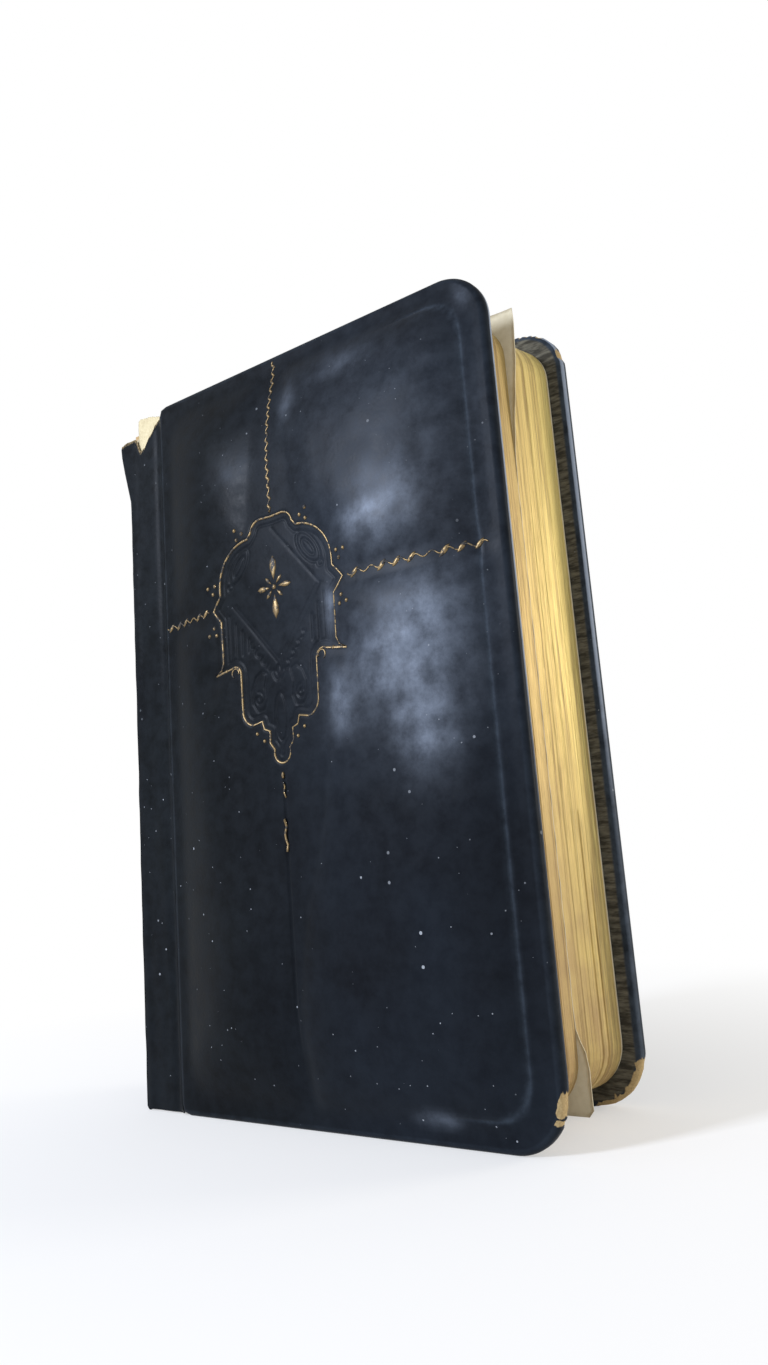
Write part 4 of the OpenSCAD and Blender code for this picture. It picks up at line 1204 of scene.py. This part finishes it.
def make_lining():
    """A thin strip with a frayed top that rises towards the spine."""
    u = np.linspace(0, 1, 34)
    v = np.concatenate([np.linspace(0, 0.8, 16), np.linspace(0.83, 1, 12)])
    gu, gv = np.meshgrid(u, v, indexing="ij")
    x = lining_low[0] + gu * (lining_high[0] - lining_low[0])
    top = np.interp(gu, [0, 0.08, 0.5, 0.9, 1], [lining_high[2] - 0.5, lining_high[2],
                                                 lining_high[2] - 0.5, 169.0, 168.4])
    top = top - 0.2 * np.abs(np.sin(gu * 37)) - 0.15 * np.abs(np.sin(gu * 17 + 2))
    left_foot = np.interp(gu, [0, 0.2, 0.3, 1], [158, 152, lining_low[2], lining_low[2]])
    z = left_foot + gv * (top - left_foot)
    y = (lining_low[1] + lining_high[1]) / 2 + 0.12 * waves(x, z, 6, 81)
    points = []
    for out in (-0.14, 0.14):
        points.append(np.stack([x, y + out, z], -1).reshape(-1, 3))
    faces = sheet_faces(*x.shape)
    return make_piece("hinge_lining_strip", np.concatenate(points), faces, lining_cloth)


lining = make_lining()
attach(lining, "book_block")
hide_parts("hinge_lining")

# %% [markdown]
# ## Headbands
#
# A headband is a cord at each end of the back, wound with silk. The windings are made as small
# swellings along the cord, one for each turn of thread, about half a millimetre apart.

# %% Headbands
def make_headband(name, node):
    """A wound cord that follows the frame's headband."""
    low, high = box_mm(node)
    r = (high[2] - low[2]) / 2
    mid_z = (high[2] + low[2]) / 2
    bend_r = lining_outer - 0.45 - 0.05 - 1.3 * r + 0.45
    limit = math.asin(min((high[1] - low[1]) / 2 / bend_r, 0.99))
    steps, around = 420, 12
    angle = np.linspace(-limit, limit, steps)
    turn = np.linspace(0, 2 * math.pi, around, endpoint=False)
    ga, gt = np.meshgrid(angle, turn, indexing="ij")
    winding = 1 - 0.13 * np.abs(np.sin(ga * bend_r * math.pi / 0.55))
    close = np.sqrt(np.clip(1 - (np.abs(ga) / limit) ** 40, 0, 1))
    rr = (r - 0.04) * winding * np.maximum(close, 0.05)
    out = bend_r + rr * np.cos(gt)
    points = np.stack([spine_cx - out * np.cos(ga), y_mid + out * np.sin(ga),
                       mid_z + rr * np.sin(gt)], -1).reshape(-1, 3)
    points[:, 0] += (low[0] + r) - (spine_cx - bend_r)
    faces = net_faces(steps, around, wrap=True)
    faces.append(list(range(around))[::-1])
    faces.append(list(range((steps - 1) * around, steps * around)))
    band = make_piece(name, points, faces, head_thread)
    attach(band, "book_block")
    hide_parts(node)


make_headband("head_band_cord", "head_band")
make_headband("tail_band_cord", "tail_band")

# %% [markdown]
# ## Pieces that the frame gives as they are
#
# Boards, pastedowns, flyleaves, spine lining and inlay are flat sheets that only show when the
# book is open or worn, and the frame has their real shape. They only need their finish.

# %% Finishes of the frame's own pieces
kept = {"front_board": paste_board, "back_board": paste_board, "front_pastedown": end_paper,
        "back_pastedown": end_paper, "front_flyleaf": leaf_paper, "back_flyleaf": leaf_paper,
        "spine_lining": lining_cloth, "spine_inlay": paste_board}
for name, material in kept.items():
    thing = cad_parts[name]
    thing.data.materials.clear()
    thing.data.materials.append(material)
print("finished", len(kept), "pieces of the frame")

# %% [markdown]
# ## Floor and white background
#
# The book stands on a pale floor that keeps its shadow. Far from the book the floor turns to plain
# white for the camera, as a photographer's sweep does. The world is white for the camera and a
# little less so for reflections, while it lights the book only at a plain level.

# %% Floor and world
material, tree, place = new_material("pale studio floor")
away = add(tree, "VectorMath", [place], operation="LENGTH")["Value"]
ray = add(tree, "LightPath", {})
seen = add(tree, "Math", [ray["Is Camera Ray"], ray["Is Glossy Ray"]], operation="MAXIMUM")[0]
seen = add(tree, "Math", [seen, ray["Is Transmission Ray"]], operation="MAXIMUM")[0]
far = add(tree, "MapRange", [away, 0.07, 0.22, 0.45, 1.0])[0]
white = add(tree, "Math", [seen, far], operation="MULTIPLY")[0]
pale = add(tree, "BsdfDiffuse", {"Color": linear("#F8F8F8")})[0]
glow = add(tree, "Emission", {"Color": (1, 1, 1, 1), "Strength": 1.0})[0]
add(tree, "OutputMaterial", {"Surface": add(tree, "MixShader", [white, pale, glow])[0]})
floor_mesh = bpy.data.meshes.new("floor")
floor_mesh.from_pydata([(-4, -4, 0), (4, -4, 0), (4, 4, 0), (-4, 4, 0)], [], [[0, 1, 2, 3]])
floor_mesh.materials.append(material)
floor = bpy.data.objects.new("floor", floor_mesh)
bpy.context.scene.collection.objects.link(floor)

world = bpy.data.worlds.new("studio")
bpy.context.scene.world = world
world.use_nodes = True
tree = world.node_tree
tree.nodes.clear()
plain_light, mirror_light = 0.55, 0.7
ray = add(tree, "LightPath", {})
seen = add(tree, "Math", [ray["Is Camera Ray"], ray["Is Transmission Ray"]],
           operation="MAXIMUM")[0]
mirrored = add(tree, "Math", [ray["Is Glossy Ray"], mirror_light], operation="MULTIPLY")[0]
strength = add(tree, "Math", [seen, mirrored], operation="MAXIMUM")[0]
strength = add(tree, "Math", [strength, plain_light], operation="MAXIMUM")[0]
light = add(tree, "Background", {"Color": (1, 1, 1, 1), "Strength": strength})[0]
add(tree, "OutputWorld", {"Surface": light})
print("floor, and a world of strength", plain_light, "for the book")

# %% [markdown]
# ## Lamps
#
# Two soft boxes: a cool key from the front left and above, which draws the long highlights on the
# cushions and the blind tooling, and a warm rim lamp from behind right, which catches the gilt
# edges of the pages.

# %% Lamps
aim = Vector((0, 0, 0.09))


def soft_box(name, direction, distance, size, power, colour):
    """A square area lamp that faces the book."""
    data = bpy.data.lights.new(name, "AREA")
    data.shape, data.size, data.energy = "SQUARE", size, power
    data.color = linear(colour)[:3]
    lamp = bpy.data.objects.new(name, data)
    lamp.location = aim + Vector(direction).normalized() * distance
    lamp.rotation_mode = "QUATERNION"
    lamp.rotation_quaternion = (aim - lamp.location).to_track_quat("-Z", "Y")
    bpy.context.scene.collection.objects.link(lamp)
    print(name, "lamp of", power, "W,", distance, "m away")


soft_box("key", (-0.41, -0.80, 0.37), 1.0, 0.16, 11.0, "#E4EDFF")
soft_box("rim", (0.76, 0.64, 0.15), 0.9, 0.3, 3.6, "#FFF6E6")

# %% [markdown]
# ## Camera
#
# The camera stands close, a little above the floor, and looks slightly up, past the fore-edge and
# the front cover. Its place and lens were worked out from the corners of the real book's picture.

# %% Camera
camera_data = bpy.data.cameras.new("camera")
camera_data.sensor_width = 36.0
camera_data.lens = 26.53
camera_data.shift_x, camera_data.shift_y = -0.0297, -0.0290
camera_data.clip_start = 0.01
camera = bpy.data.objects.new("camera", camera_data)
right = Vector((0.81141, 0.57877, -0.08152))
down = Vector((-0.17672, 0.10999, -0.97810))
forward = Vector((-0.55713, 0.80804, 0.19152))
camera.matrix_world = Matrix.Translation((0.151298, -0.177768, 0.056069)) @ Matrix(
    (right, -down, -forward)).transposed().to_4x4()
bpy.context.scene.collection.objects.link(camera)
bpy.context.scene.camera = camera
bpy.context.scene.view_settings.view_transform = "Standard"
